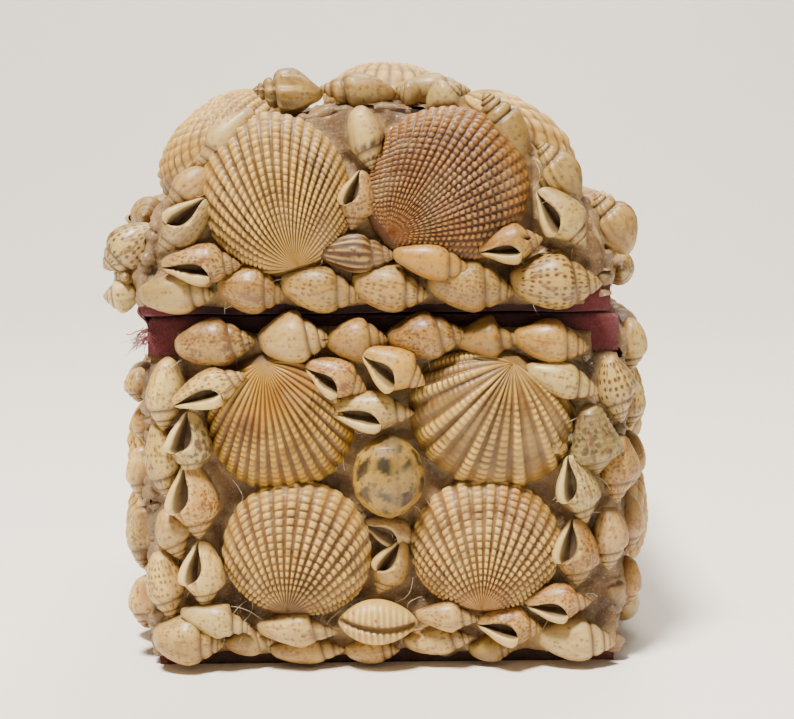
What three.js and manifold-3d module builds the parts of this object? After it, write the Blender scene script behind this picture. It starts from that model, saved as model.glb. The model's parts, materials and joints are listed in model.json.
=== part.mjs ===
// A small keepsake box, shaped as a chest with a barrel lid, covered all over
// with sea shells set in clear glue. Millimetres, +Z up. The origin is the
// centre of the underside of the board core; the end that shows its arch looks
// towards -Y, and the lid swings on a cloth strip along the left (-X) side.
import * as THREE from 'three';
import Module from 'manifold-3d';

const wasm = await Module();
wasm.setup();

// ---- driving dimensions ----------------------------------------------------
const WIDTH = 76;            // board core, left to right
const DEPTH = 92;            // board core, front to back
const BASE_HEIGHT = 58;      // base core, underside to rim
const BOARD = 2.5;           // thickness of the board
const LINING = 1.0;          // card liner faced with cloth
const GAP = 0.3;             // room between two pieces that touch
const LID_LIFT = 1.2;        // dark gap between the rim and the lid
const LID_SHIFT = -1.2;      // the lid sits a little towards its hinge side
const LID_SIDE = 4;          // straight side of the lid below the arch
const LID_RISE = 29;         // rise of the arch above the straight side
const ARCH_STEPS = 16;       // flats around the arch
const GLUE_NEAR = 0.3;       // glue bed, nearest and furthest from the board
const GLUE_FAR = 1.2;
const COCKLE_NEAR = 1.5;     // underside of a cockle above the board
const GROW = 0.4;            // room cut around a shell for its neighbour
const BEDDED = 0.7;          // lowest line of a small shell, off the board
const FLAT = 0.84;           // height of a small shell over its width
const CLOTH = 0.8;           // thickness of the hinge strip
const HINGE_LENGTH = 80;

const LID_BOTTOM = BASE_HEIGHT + LID_LIFT;
const SPRING = LID_BOTTOM + LID_SIDE;
const HALF_W = WIDTH / 2, HALF_D = DEPTH / 2;

// ---- colours ---------------------------------------------------------------
const paint = (hex, roughness) => new THREE.MeshStandardMaterial({ color: hex, roughness, metalness: 0 });
const SHELL_COLOURS = { cream: 0xdcc9a0, ochre: 0xc39a55, tan: 0xb99468, pale: 0xe6dcc3, brown: 0x8f6238, mixed: 0xcdb083 };
const board = () => paint(0x8b6a45, 0.8);
const velvet = () => paint(0x4c1c22, 0.95);
const shellPaint = (name) => paint(SHELL_COLOURS[name], 0.45);

// ---- solids from geometry classes ------------------------------------------
function weld(geometry) {
  const src = geometry.index ? geometry.toNonIndexed() : geometry;
  const pos = src.attributes.position;
  const seen = new Map(), verts = [], tris = [];
  const id = (i) => {
    const k = [pos.getX(i), pos.getY(i), pos.getZ(i)].map((c) => Math.round(c * 2e3)).join(',');
    if (!seen.has(k)) { seen.set(k, verts.length / 3); verts.push(pos.getX(i), pos.getY(i), pos.getZ(i)); }
    return seen.get(k);
  };
  for (let i = 0; i < pos.count; i += 3) {
    const t = [id(i), id(i + 1), id(i + 2)];
    if (t[0] !== t[1] && t[1] !== t[2] && t[2] !== t[0]) tris.push(t);
  }
  return { verts, tris };
}
function solid(geometry) {
  const { verts, tris } = weld(geometry);
  let six = 0;
  const p = (i) => new THREE.Vector3(verts[3 * i], verts[3 * i + 1], verts[3 * i + 2]);
  for (const t of tris) six += p(t[0]).dot(p(t[1]).cross(p(t[2])));
  const flat = tris.flatMap((t) => (six < 0 ? [t[0], t[2], t[1]] : t));
  return new wasm.Manifold(new wasm.Mesh({ numProp: 3, vertProperties: new Float32Array(verts), triVerts: new Uint32Array(flat) }));
}
function mapped(geometry, fn) {
  const g = geometry.clone(), pos = g.attributes.position;
  for (let i = 0; i < pos.count; i++) {
    const q = fn(pos.getX(i), pos.getY(i), pos.getZ(i));
    pos.setXYZ(i, q.x, q.y, q.z);
  }
  return g;
}
const boxBetween = (a, b) => {
  const g = new THREE.BoxGeometry(b[0] - a[0], b[1] - a[1], b[2] - a[2]);
  g.translate((a[0] + b[0]) / 2, (a[1] + b[1]) / 2, (a[2] + b[2]) / 2);
  return g;
};
// an outline in X and Z, run from y0 to y1
function prism(points, y0, y1) {
  const shape = new THREE.Shape(points.map(([x, z]) => new THREE.Vector2(x, z)));
  const g = new THREE.ExtrudeGeometry(shape, { depth: y1 - y0, bevelEnabled: false, steps: 1 });
  return mapped(g, (x, y, z) => new THREE.Vector3(x, y1 - z, y));
}
// an outline in X and Y, run from z0 to z1
function column(points, z0, z1) {
  const shape = new THREE.Shape(points.map(([x, y]) => new THREE.Vector2(x, y)));
  const g = new THREE.ExtrudeGeometry(shape, { depth: z1 - z0, bevelEnabled: false, steps: 1 });
  g.translate(0, 0, z0);
  return g;
}

// ---- the lid's arch ----------------------------------------------------------
// outline of the lid moved inwards by inset (outwards when negative)
function archOutline(inset, bottom) {
  const a = HALF_W - inset, b = LID_RISE - inset, pts = [[LID_SHIFT - a, bottom]];
  for (let i = 0; i <= ARCH_STEPS; i++) {
    const t = Math.PI * (1 - i / ARCH_STEPS);
    pts.push([LID_SHIFT + a * Math.cos(t), SPRING + b * Math.sin(t)]);
  }
  pts.push([LID_SHIFT + a, bottom]);
  return pts;
}
// place on the arch at s millimetres right of the ridge, with its outward normal
const ARCH = (() => {
  const n = 2000, pts = [];
  for (let i = 0; i <= n; i++) {
    const t = (Math.PI / 2) * (1 - i / n);
    pts.push([HALF_W * Math.cos(t), LID_RISE * Math.sin(t)]);
  }
  const len = [0];
  for (let i = 1; i <= n; i++) len.push(len[i - 1] + Math.hypot(pts[i][0] - pts[i - 1][0], pts[i][1] - pts[i - 1][1]));
  return { pts, len, n };
})();
const ARCH_HALF = ARCH.len[ARCH.n];
function onArch(s) {
  const q = Math.abs(s), sign = s < 0 ? -1 : 1;
  let x, z, nx, nz;
  if (q >= ARCH_HALF) { x = HALF_W; z = -(q - ARCH_HALF); nx = 1; nz = 0; }
  else {
    let lo = 0, hi = ARCH.n;
    while (hi - lo > 1) { const m = (lo + hi) >> 1; if (ARCH.len[m] > q) hi = m; else lo = m; }
    const f = (q - ARCH.len[lo]) / (ARCH.len[hi] - ARCH.len[lo]);
    x = ARCH.pts[lo][0] + f * (ARCH.pts[hi][0] - ARCH.pts[lo][0]);
    z = ARCH.pts[lo][1] + f * (ARCH.pts[hi][1] - ARCH.pts[lo][1]);
    nx = x / (HALF_W * HALF_W); nz = z / (LID_RISE * LID_RISE);
    const l = Math.hypot(nx, nz); nx /= l; nz /= l;
  }
  return { x: LID_SHIFT + sign * x, z: SPRING + z, nx: sign * nx, nz };
}

// ---- faces: a point (u, v) along a face and h off it, in space ------------------
const V = (x, y, z) => new THREE.Vector3(x, y, z);
const FACES = {
  front: (u, v, h) => V(u, -HALF_D - h, v),
  back: (u, v, h) => V(-u, HALF_D + h, v),
  left: (u, v, h) => V(-HALF_W - h, -u, v),
  right: (u, v, h) => V(HALF_W + h, u, v),
  vault: (u, v, h) => { const p = onArch(u); return V(p.x + p.nx * h, v, p.z + p.nz * h); },
};
// a local frame on a face, for shells that keep their shape on the curved lid
function frameAt(face, u, v, deg) {
  const f = FACES[face], e = 0.05;
  const o = f(u, v, 0), n = f(u, v, 1).sub(o);
  const du = f(u + e, v, 0).sub(f(u - e, v, 0)).normalize();
  const dv = f(u, v + e, 0).sub(f(u, v - e, 0)).normalize();
  const a = (deg * Math.PI) / 180;
  const d = du.multiplyScalar(Math.cos(a)).add(dv.multiplyScalar(Math.sin(a)));
  return { o, n, d, e: d.clone().cross(n) };
}

// ---- shells ----------------------------------------------------------------
// a spindle from its front end to its apex: narrow, full, then a point
function spindle(L, W, sides, grow) {
  const profile = [[0, -grow], [0.27 * W + grow, -grow], [W / 2 + grow, 0.47 * L], [0, L + 1.5 * grow]];
  return new THREE.LatheGeometry(profile.map(([x, y]) => new THREE.Vector2(x, y)), sides);
}
// outline of a cockle seen from its beak: reach in each direction
function cockleReach(phi, W, H) {
  const back = 0.07 * H, b = (H + back) / 2, a = W / 2, c = b - back;   // centre lies c in front of the beak
  const s = Math.sin(phi), k = Math.cos(phi);
  const A = (s * s) / (a * a) + (k * k) / (b * b), B = (-2 * k * c) / (b * b), C = (c * c) / (b * b) - 1;
  const r = (-B + Math.sqrt(B * B - 4 * A * C)) / (2 * A);
  const m = Math.abs(phi) - 1.9;
  return r * (1 - 0.16 * Math.exp(-m * m * 5));
}
function cockleDome(x, y, W, H, rise) {
  const back = 0.07 * H, b = (H + back) / 2, a = W / 2, c = b - back;
  const rho = Math.min(1, Math.hypot(x / a, (y - c) / b));
  return rise * Math.pow(1 - Math.pow(rho, 2.5), 0.62) * (1 + 0.16 * ((c - y) / b) * (1 - rho));
}
// (x across, y from the beak to the margin, z height): ribs fan out from the beak
function cockle(W, H, rise, ribs, grow) {
  const n = 2 * ribs, profile = [[0, 0], [1, 0], [0.8, 1], [0.42, 1], [0, 1]];
  const g = new THREE.LatheGeometry(profile.map(([x, y]) => new THREE.Vector2(x, y)), n);
  const w = W + 2 * grow, hh = H + 2 * grow, up = rise + grow;
  return mapped(g, (x, y, z) => {
    const t = Math.hypot(x, z), turn = Math.atan2(x, z) / Math.PI;                  // -1..1 around
    const col = Math.round((turn + 1) * ribs) % 2;
    const phi = Math.PI * (0.62 * turn + 0.38 * Math.pow(turn, 5));
    const rib = grow > 0 ? 1.025 : (col === 0 ? 1.025 : 0.965);
    const r = cockleReach(phi, w, hh) * t * (t > 0.9 ? rib : 1);
    const px = r * Math.sin(phi), py = r * Math.cos(phi) - grow;
    const h = y < 0.5 ? -grow : (t > 0.9 ? 0.9 : Math.max(0.9, cockleDome(px, py, w, hh, up) * rib));
    return new THREE.Vector3(px, py, h);
  });
}
const egg = (L, W, T, grow) => {
  const g = new THREE.SphereGeometry(1, 8, 6);
  g.scale(W / 2 + grow, L / 2 + grow, T / 2 + grow);
  g.translate(0, L / 2, 0);
  return g;
};
// one shell, as its own solid; grow widens it for the cut in a neighbour
function shellSolid(s, grow) {
  if (s.kind === 'cockle') {
    const g = cockle(s.W, s.L, s.rise, s.ribs, grow);
    const a = (s.deg * Math.PI) / 180, ca = Math.cos(a), sa = Math.sin(a), f = FACES[s.face];
    return solid(mapped(g, (x, y, z) => {
      const lean = s.lean * y;
      return f(s.u + y * ca + x * sa, s.v + y * sa - x * ca, s.lift + lean + z);
    }));
  }
  const fr = frameAt(s.face, s.u, s.v, s.deg);
  const g = s.kind === 'egg' ? egg(s.L, s.W, s.rise, grow) : spindle(s.L, s.W, s.sides, grow);
  const squash = s.kind === 'egg' ? 1 : FLAT;
  return solid(mapped(g, (x, y, z) => fr.o.clone()
    .addScaledVector(fr.e, x).addScaledVector(fr.d, y).addScaledVector(fr.n, s.lift + z * squash + s.lean * y)));
}
const spin = (face, u0, v0, u1, v1, W, lift, sides = 5) => ({
  kind: 'spindle', face, u: u0, v: v0, L: Math.hypot(u1 - u0, v1 - v0), W,
  deg: (Math.atan2(v1 - v0, u1 - u0) * 180) / Math.PI,
  lift: lift ?? BEDDED + ((FLAT * W) / 2) * Math.cos(Math.PI / sides), lean: 0, sides,
});
const cock = (face, u0, v0, u1, v1, W, rise, ribs = 7, lift = COCKLE_NEAR, lean = 0) => ({
  kind: 'cockle', face, u: u0, v: v0, L: Math.hypot(u1 - u0, v1 - v0), W, rise, ribs,
  deg: (Math.atan2(v1 - v0, u1 - u0) * 180) / Math.PI, lift, lean,
});

// ---- glue beds: thin pads just off the board --------------------------------------
const pad = (face, u0, v0, u1, v1, steps = 1, near = GLUE_NEAR, far = GLUE_FAR) => {
  const g = new THREE.BoxGeometry(u1 - u0, v1 - v0, far - near, steps, 1, 1);
  g.translate((u0 + u1) / 2, (v0 + v1) / 2, (near + far) / 2);
  return solid(mapped(g, (u, v, h) => FACES[face](u, v, h)));
};
// a pad that follows the arch on the flat end of the lid, between two insets
const archPad = (face, s0, s1, in0, in1, steps) => {
  const g = new THREE.BoxGeometry(1, 1, GLUE_FAR - GLUE_NEAR, steps, 1, 1);
  const flip = face === 'back' ? -1 : 1;
  return solid(mapped(g, (x, y, z) => {
    const p = onArch(s0 + (x + 0.5) * (s1 - s0)), inset = in1 + (y + 0.5) * (in0 - in1);
    return FACES[face](flip * (p.x - p.nx * inset), p.z - p.nz * inset, GLUE_NEAR + 0.45 + z);
  }));
};

// ---- where the shells sit ---------------------------------------------------------
// a steady run of small random numbers, so the hidden sides aren't regular
let seed = 4211;
const rnd = () => { seed = (seed * 16807) % 2147483647; return seed / 2147483647; };

// a row of small shells laid end to end, each pointing one way or the other
function row(face, u0, v0, u1, v1, count, W, sides = 5) {
  const out = [], du = (u1 - u0) / count, dv = (v1 - v0) / count;
  for (let i = 0; i < count; i++) {
    const turn = rnd() < 0.5, w = W * (0.94 + 0.12 * rnd()), off = (rnd() - 0.5) * 0.8;
    const len = Math.hypot(du, dv), ox = (-dv / len) * off, oy = (du / len) * off;
    const a = 0.03, b = 0.97;
    const p = [u0 + du * (i + a) + ox, v0 + dv * (i + a) + oy], q = [u0 + du * (i + b) - ox, v0 + dv * (i + b) - oy];
    out.push(turn ? spin(face, q[0], q[1], p[0], p[1], w, undefined, sides) : spin(face, p[0], p[1], q[0], q[1], w, undefined, sides));
  }
  return out;
}

// front end, base: front end x, z - apex x, z - width - height of its axis
const topRow = [
  [-33.3, 54.7, -20.9, 54.2, 7.2], [-20.2, 54.4, -8.9, 54.6, 7.2], [-9.2, 54.2, 0.9, 54.0, 7.0],
  [1.2, 54.2, 13.0, 54.0, 7.2], [12.9, 53.6, 22.4, 54.5, 6.3], [22.0, 54.0, 33.2, 52.9, 7.0],
];
const upperCluster = [
  [-12.5, 50.8, -2.6, 46.4, 6.6, 3.9], [-2.9, 52.0, 6.5, 47.3, 6.6, 5.2], [-8.0, 42.6, 4.7, 41.9, 6.9, 3.4],
  [-3.1, 24.6, 6.3, 21.8, 4.4], [4.0, 19.6, -0.2, 13.6, 6.0],
];
const leftColumn = [
  [-34.6, 50.6, -35.9, 40.6, 6.6], [-34.0, 45.0, -22.9, 48.2, 6.0, 5.4], [-30.3, 42.4, -32.0, 34.0, 6.6, 3.6], [-37.0, 39.6, -36.6, 31.9, 6.0, 1.8],
  [-31.4, 33.0, -30.0, 22.3, 7.0], [-30.1, 21.3, -29.8, 11.2, 6.8], [-35.4, 29.5, -34.6, 20.9, 5.6], [-36.0, 19.9, -35.8, 11.4, 6.6],
];
const rightColumn = [
  [23.7, 49.2, 33.7, 46.2, 6.0, 4.0], [33.2, 42.8, 34.8, 35.1, 7.6], [36.2, 50.6, 38.2, 42.4, 5.2, 1.6],
  [30.4, 34.6, 33.2, 24.2, 7.0], [31.7, 23.8, 31.1, 13.6, 7.2], [27.4, 40.2, 28.4, 35.0, 5.0],
  [37.0, 33.6, 38.2, 25.4, 5.6, 1.2], [36.6, 22.4, 37.6, 13.4, 5.4, 1.6],
];
const bottomRow = [
  [-37.2, 6.0, -27.0, 4.6, 7.6], [-33.2, 9.9, -23.2, 7.4, 5.0, 5.2], [-26.9, 4.2, -18.8, 3.7, 5.0],
  [-21.0, 7.6, -8.4, 6.3, 5.8, 4.6], [-17.0, 3.1, -7.4, 2.9, 4.2], [-6.4, 3.2, 1.5, 3.1, 3.6],
  [5.3, 8.8, 15.0, 8.4, 5.2, 4.6], [3.0, 4.2, 13.7, 3.6, 4.6], [15.4, 7.5, 25.6, 6.9, 6.8, 4.2], [14.3, 3.0, 21.0, 2.9, 4.0],
  [23.9, 12.2, 33.1, 11.6, 6.2, 4.6], [26.2, 5.7, 37.4, 3.9, 7.2],
];
// and around its two corners, on the sides: height z of the front end and the apex, width, place back from the corner
const leftCorner = [[49.6, 43.8, 5.6, 3.6], [43.0, 37.0, 4.4, 4.4], [36.4, 27.2, 5.8, 3.8], [26.0, 15.4, 6.0, 3.8], [14.2, 5.0, 6.0, 3.8]];
const rightCorner = [[57.0, 48.2, 6.2, 3.8], [47.0, 38.6, 6.0, 3.8], [38.0, 28.4, 6.2, 4.0], [27.4, 17.6, 6.0, 3.8], [16.6, 8.0, 5.6, 3.8]];
// front end, lid
const lidRow = [
  [-38.6, 63.4, -27.0, 63.0, 6.0], [-26.1, 63.5, -15.9, 63.0, 7.0], [-15.8, 63.6, -4.6, 62.9, 7.0], [-4.4, 64.0, 7.2, 62.9, 7.0],
  [7.6, 63.6, 20.9, 63.0, 7.0], [2.1, 68.6, 13.6, 66.8, 5.2, 5.6], [21.5, 62.9, 35.1, 63.9, 7.2],
];
const archLeft = [
  [-34.8, 67.9, -23.0, 67.2, 6.0, 4.6], [-27.9, 77.3, -35.2, 69.6, 7.0], [-27.9, 82.2, -34.4, 78.0, 5.0, 1.6], [-21.4, 91.0, -29.3, 84.4, 5.0, -1.6],
];
const archTop = [
  [-9.9, 94.0, -20.5, 93.2, 6.2, -3.4], [1.4, 95.0, -9.4, 95.4, 6.0, -3.4], [6.0, 95.4, 2.6, 95.6, 4.0, -3.0], [7.6, 91.4, 12.7, 95.6, 5.8, -1.4],
];
const archRight = [
  [21.8, 84.6, 16.6, 93.8, 6.6, 1.0], [31.4, 77.4, 26.1, 86.4, 6.2, 1.0], [40.2, 68.6, 34.8, 77.0, 6.8, -2.0],
  [26.1, 77.6, 30.7, 69.4, 7.4, 3.6], [15.8, 70.0, 25.4, 69.8, 6.2, 4.6],
];
const lidCentre = [[-3.4, 91.4, -1.3, 82.6, 5.4], [-2.9, 81.2, -4.9, 72.9, 6.0], [-10.4, 69.6, 1.6, 68.4, 5.4, 3.6]];
const front = (rows) => rows.map(([a, b, c, d, w, lift]) => spin('front', a, b, c, d, w, lift));
const corner = (face, rows) => rows.map(([z0, z1, w, back]) => {
  const u = face === 'left' ? HALF_D - back : -HALF_D + back;
  return spin(face, u, z0, u + (face === 'left' ? -0.6 : 0.6), z1, w);
});

// ---- nodes, from the core outwards ------------------------------------------------
const nodes = [];      // { name, pieces, shells, pads, colour }
const add = (name, colour, shells, pads = []) => nodes.push({ name, colour, shells, pads });

const C = [   // the six large cockles on this end: beak x, z - margin x, z - width, rise, ribs, lift, lean
  ['lid_front_cockle_left', 'cream', [-13.2, 67.7, -18.3, 89.6, 21.6, 6.4, 12, 1.5, 0]],
  ['lid_front_cockle_right', 'brown', [0.9, 73.4, 18.4, 86.4, 22.8, 6.6, 12, 1.5, 0]],
  ['front_cockle_upper_left', 'ochre', [-19.7, 51.0, -16.4, 32.2, 21.6, 6.0, 10, 1.5, 0]],
  ['front_cockle_upper_right', 'pale', [21.2, 50.6, 15.6, 32.2, 22.6, 6.4, 9, 1.5, 0]],
  ['front_cockle_lower_left', 'cream', [-18.3, 10.8, -13.4, 31.2, 22.6, 6.4, 10, 1.5, 0.03]],
  ['front_cockle_lower_right', 'cream', [16.1, 10.9, 18.2, 31.6, 22.6, 6.4, 10, 1.5, 0.03]],
];
for (const [name, colour, a] of C) add(name, colour, [cock('front', a[0], a[1], a[2], a[3], a[4], a[5], a[6], a[7], a[8])]);
add('front_nerite', 'ochre', [{ kind: 'egg', face: 'front', u: 0.6, v: 38.2, L: 12, W: 10.6, rise: 8, deg: -90, lift: 5.4, lean: 0 }]);
add('front_cowrie', 'cream', [{ kind: 'egg', face: 'front', u: -7.9, v: 8.6, L: 12.6, W: 6.8, rise: 6, deg: -1, lift: 5.2, lean: 0 }]);
add('front_top_row', 'tan', front(topRow), [pad('front', -36.6, 52.2, 36.6, 56.8)]);
add('front_centre_cluster', 'cream', front(upperCluster), [pad('front', -8.6, 13.2, 7.0, 51.8)]);
const wrap = (side, z0, z1) => {       // a pad that turns the front corner
  const s = side, x = HALF_W, y = -HALF_D;
  const pts = [[s * (x - 10), y - GLUE_FAR], [s * (x + GLUE_FAR), y - GLUE_FAR], [s * (x + GLUE_FAR), y + 7],
    [s * (x + GLUE_NEAR), y + 7], [s * (x + GLUE_NEAR), y - GLUE_NEAR], [s * (x - 10), y - GLUE_NEAR]];
  return solid(column(pts, z0, z1));
};
add('front_left_column', 'cream', [...front(leftColumn), ...corner('left', leftCorner)], [wrap(-1, 10.4, 49.6), pad('left', 36.5, 4, 45.6, 10.6)]);
add('front_right_column', 'tan', [...front(rightColumn), ...corner('right', rightCorner)], [wrap(1, 12, 51.6), pad('right', -45.6, 8, -36.5, 12.2), pad('right', -45.6, 51.4, -36.5, 56.6)]);
add('front_bottom_row', 'cream', front(bottomRow), [pad('front', -36.6, 1.4, 36.6, 9.8)]);
add('lid_front_row', 'tan', front(lidRow), [pad('front', -37.4, 60.6, 35.4, 65.6)]);
add('lid_front_arch_left', 'cream', front(archLeft), [archPad('front', -53, -30.4, 1.2, 9.5, 5)]);
add('lid_front_arch_top', 'tan', front(archTop), [pad('vault', -20, -45.6, 13, -39.5, 5, 0.5, 1.4)]);
add('lid_front_arch_right', 'tan', front(archRight), [archPad('front', 18.5, 52, 1.2, 11.5, 6)]);
add('lid_front_centre', 'cream', front(lidCentre), [pad('front', -6.4, 67, -0.6, 90.4)]);

// the two long sides and the back: two tiers of cockles in three pairs, between rows of small shells
const tiers = (face, name, half, top, bottom, tints) => {
  const count = 3, pitch = (2 * half) / count, mid = (top + bottom) / 2, H = (top - bottom) / 2 + 1.2;
  for (let i = 0; i < count; i++) {
    const u = -half + pitch * (i + 0.5), k = rnd() - 0.5, m = rnd() - 0.5;
    add(`${name}_cockles_${i + 1}`, tints[i], [
      cock(face, u + k, bottom + 0.8, u + k + 2 * m, mid + 2.2, pitch * 0.93, 6.0, 7, COCKLE_NEAR, 0.05),
      cock(face, u - k, top - 0.8, u - k + 2 * m, top - H, pitch * 0.93, 5.6, 7, COCKLE_NEAR, 0),
    ]);
  }
};
tiers('left', 'left', 37.5, 42.6, 10.2, ['cream', 'ochre', 'pale']);
add('left_upper_row', 'tan', row('left', -45.2, 46.4, 38.6, 46.4, 7, 6.4), [pad('left', -45.6, 43.2, 38.8, 49.6)]);
add('left_lower_row', 'cream', row('left', -45.2, 5.6, 35.6, 5.6, 7, 7.0), [pad('left', -45.6, 2.2, 36.2, 9.2)]);
tiers('right', 'right', 37.5, 50.2, 10.2, ['pale', 'cream', 'ochre']);
add('right_upper_row', 'tan', row('right', -35.8, 54.2, 45.2, 54.2, 7, 6.6), [pad('right', -36.2, 51.0, 45.6, 57.4)]);
add('right_lower_row', 'cream', row('right', -35.6, 5.6, 45.2, 5.6, 7, 7.0), [pad('right', -36.2, 2.2, 45.6, 9.2)]);
tiers('back', 'back', 36.6, 50.2, 10.2, ['cream', 'pale', 'ochre']);
add('back_upper_row', 'cream', row('back', -37.4, 54.2, 37.4, 54.2, 6, 6.6), [pad('back', -37.8, 51.0, 37.8, 57.4)]);
add('back_lower_row', 'tan', row('back', -37.4, 5.6, 37.4, 5.6, 6, 7.0), [pad('back', -37.8, 2.2, 37.8, 9.2)]);

// lid, back end
add('lid_back_cockle_left', 'cream', [cock('back', -5.4, 68.6, -15.6, 86.4, 20.6, 6.0)]);
add('lid_back_cockle_right', 'ochre', [cock('back', 8.8, 68.6, 18.2, 86.2, 20.6, 6.0)]);
add('lid_back_row', 'tan', row('back', -35.6, 63.4, 37.6, 63.4, 6, 6.6), [pad('back', -36.0, 60.4, 37.8, 66.4)]);
const archRow = () => {
  const out = [], count = 7, s0 = -47, s1 = 47;
  for (let i = 0; i < count; i++) {
    const sa = s0 + ((s1 - s0) * (i + 0.04)) / count, sb = s0 + ((s1 - s0) * (i + 0.96)) / count;
    const A = onArch(sa), B = onArch(sb), inset = 3.6, w = 5.8 + 0.7 * rnd(), turn = rnd() < 0.5;
    const a = [-(A.x - A.nx * inset), A.z - A.nz * inset], b = [-(B.x - B.nx * inset), B.z - B.nz * inset];
    out.push(turn ? spin('back', a[0], a[1], b[0], b[1], w, undefined, 5) : spin('back', b[0], b[1], a[0], a[1], w, undefined, 5));
  }
  return out;
};
add('lid_back_arch_row', 'pale', archRow(), [archPad('back', -47.5, 47.5, 0.8, 6.6, 8)]);

// the vault: two tiers of cockles that open downwards, ridge rows, and rows along the eaves
const vaultTints = ['ochre', 'cream', 'pale', 'cream', 'brown', 'ochre'];
for (let i = 0; i < 6; i++) {
  const right = i >= 3, sgn = right ? 1 : -1, y = -24.5 + 25.4 * (i % 3) + (rnd() - 0.5), k = 3 * (rnd() - 0.5);
  add(`lid_${right ? 'right' : 'left'}_cockle_${(i % 3) + 1}`, vaultTints[i], [cock('vault', sgn * 14.4, y, sgn * 36.4, y + k, 23.6, 5.8)]);
}
add('lid_left_eave_row', 'tan', row('vault', -51.4, -45.0, -51.4, 45.0, 7, 6.4), [pad('vault', -53.0, -45.6, -47.8, 45.6, 1, 0.5, 1.4)]);
add('lid_left_second_row', 'cream', row('vault', -42.6, -38.4, -42.6, 45.0, 6, 6.6), [pad('vault', -46.0, -38.9, -39.2, 45.6, 2, 0.5, 1.4)]);
add('lid_ridge_cockle', 'pale', [cock('vault', 2.4, -14.2, 2.4, -36.4, 21.6, 6.2)]);
add('lid_ridge_rows', 'mixed', [
  ...row('vault', -6.2, -11.0, -6.2, 45.0, 4, 7.4), ...row('vault', 4.8, -11.0, 4.8, 45.0, 4, 7.4)],
[pad('vault', -10.4, -11.8, 9.0, 45.6, 4, 0.5, 1.4)]);
add('lid_right_second_row', 'pale', row('vault', 42.6, -38.4, 42.6, 45.0, 6, 6.6), [pad('vault', 39.2, -38.9, 46.0, 45.6, 2, 0.5, 1.4)]);
add('lid_right_eave_row', 'cream', row('vault', 51.4, -40.0, 51.4, 45.0, 7, 6.4), [pad('vault', 47.8, -40.4, 53.0, 45.6, 1, 0.5, 1.4)]);

// ---- board, lining and hinge --------------------------------------------------------
const base_box = solid(boxBetween([-HALF_W, -HALF_D, 0], [HALF_W, HALF_D, BASE_HEIGHT]))
  .subtract(solid(boxBetween([-HALF_W + BOARD, -HALF_D + BOARD, BOARD], [HALF_W - BOARD, HALF_D - BOARD, BASE_HEIGHT + 5])));
const li = BOARD + GAP, lo = li + LINING;
const base_lining = solid(boxBetween([-HALF_W + li, -HALF_D + li, li], [HALF_W - li, HALF_D - li, BASE_HEIGHT - 0.4]))
  .subtract(solid(boxBetween([-HALF_W + lo, -HALF_D + lo, lo], [HALF_W - lo, HALF_D - lo, BASE_HEIGHT + 5])));
const lid_box = solid(prism(archOutline(0, LID_BOTTOM), -HALF_D, HALF_D))
  .subtract(solid(prism(archOutline(BOARD, LID_BOTTOM - 5), -HALF_D + BOARD, HALF_D - BOARD)));
const lid_lining = solid(prism(archOutline(li, LID_BOTTOM + 0.4), -HALF_D + li, HALF_D - li))
  .subtract(solid(prism(archOutline(lo, LID_BOTTOM - 5), -HALF_D + lo, HALF_D - lo)));
// the strip bridges the rim and the lid on the left, outside both
const xb = -HALF_W - GAP, xl = -HALF_W + LID_SHIFT - GAP;
const hinge_cloth = solid(prism([
  [xb, 51.6], [xb, BASE_HEIGHT - 0.2], [xl, LID_BOTTOM], [xl, 61.6], [xl - CLOTH, 61.6], [xl - CLOTH, LID_BOTTOM - 0.5], [xb - CLOTH, BASE_HEIGHT - 0.9], [xb - CLOTH, 51.6],
], -HINGE_LENGTH / 2 - 4, HINGE_LENGTH / 2));
const coreClear = solid(boxBetween([-HALF_W - GAP, -HALF_D - GAP, -3], [HALF_W + GAP, HALF_D + GAP, BASE_HEIGHT + GAP]))
  .add(solid(prism(archOutline(-GAP, LID_BOTTOM - GAP), -HALF_D - GAP, HALF_D + GAP)));
const clothClear = solid(boxBetween([xl - CLOTH - GAP, -HINGE_LENGTH / 2 - 4 - GAP, 51.3], [xb + GAP, HINGE_LENGTH / 2 + GAP, 61.9]));

// ---- scene graph --------------------------------------------------------------------
const box = new THREE.Group();
function put(name, manifold, material) {
  const mesh = manifold.getMesh(), g = new THREE.BufferGeometry();
  g.setAttribute('position', new THREE.BufferAttribute(new Float32Array(mesh.vertProperties), 3));
  g.setIndex(Array.from(mesh.triVerts));
  g.computeVertexNormals();
  const m = new THREE.Mesh(g, material);
  m.name = name;
  box.add(m);
}
put('base_box', base_box, board());
put('base_lining', base_lining, velvet());
put('lid_box', lid_box, board());
put('lid_lining', lid_lining, velvet());
put('hinge_cloth', hinge_cloth, velvet());

const reach = (m) => m.boundingBox();
const meets = (a, b) => [0, 1, 2].every((i) => a.min[i] < b.max[i] + 0.5 && b.min[i] < a.max[i] + 0.5);
const done = [];       // grown solids of the nodes already placed
for (const node of nodes) {
  let body = null;
  const own = [];
  for (const s of node.shells) own.push(shellSolid(s, 0));
  body = [...own, ...node.pads].reduce((a, b) => (a ? a.add(b) : b), null);
  body = body.subtract(coreClear).subtract(clothClear);
  const near = done.filter((d) => meets(reach(d), reach(body)));
  for (const d of near) body = body.subtract(d);
  const parts = body.decompose().sort((a, b) => b.volume() - a.volume());
  body = parts[0].setTolerance ? parts[0].setTolerance(0.12) : parts[0];
  put(node.name, body, shellPaint(node.colour));
  for (const s of node.shells) done.push(shellSolid(s, GROW));
  for (const p of node.pads) {
    // the pad again, thicker and wider by the gap, as it stands in the way of later nodes
    done.push(p.add(p.translate([GROW, 0, 0])).add(p.translate([-GROW, 0, 0])).add(p.translate([0, GROW, 0])).add(p.translate([0, -GROW, 0]))
      .add(p.translate([0, 0, GROW])).add(p.translate([0, 0, -GROW])));
  }
}

export default box;
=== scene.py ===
import json
import math

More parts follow.
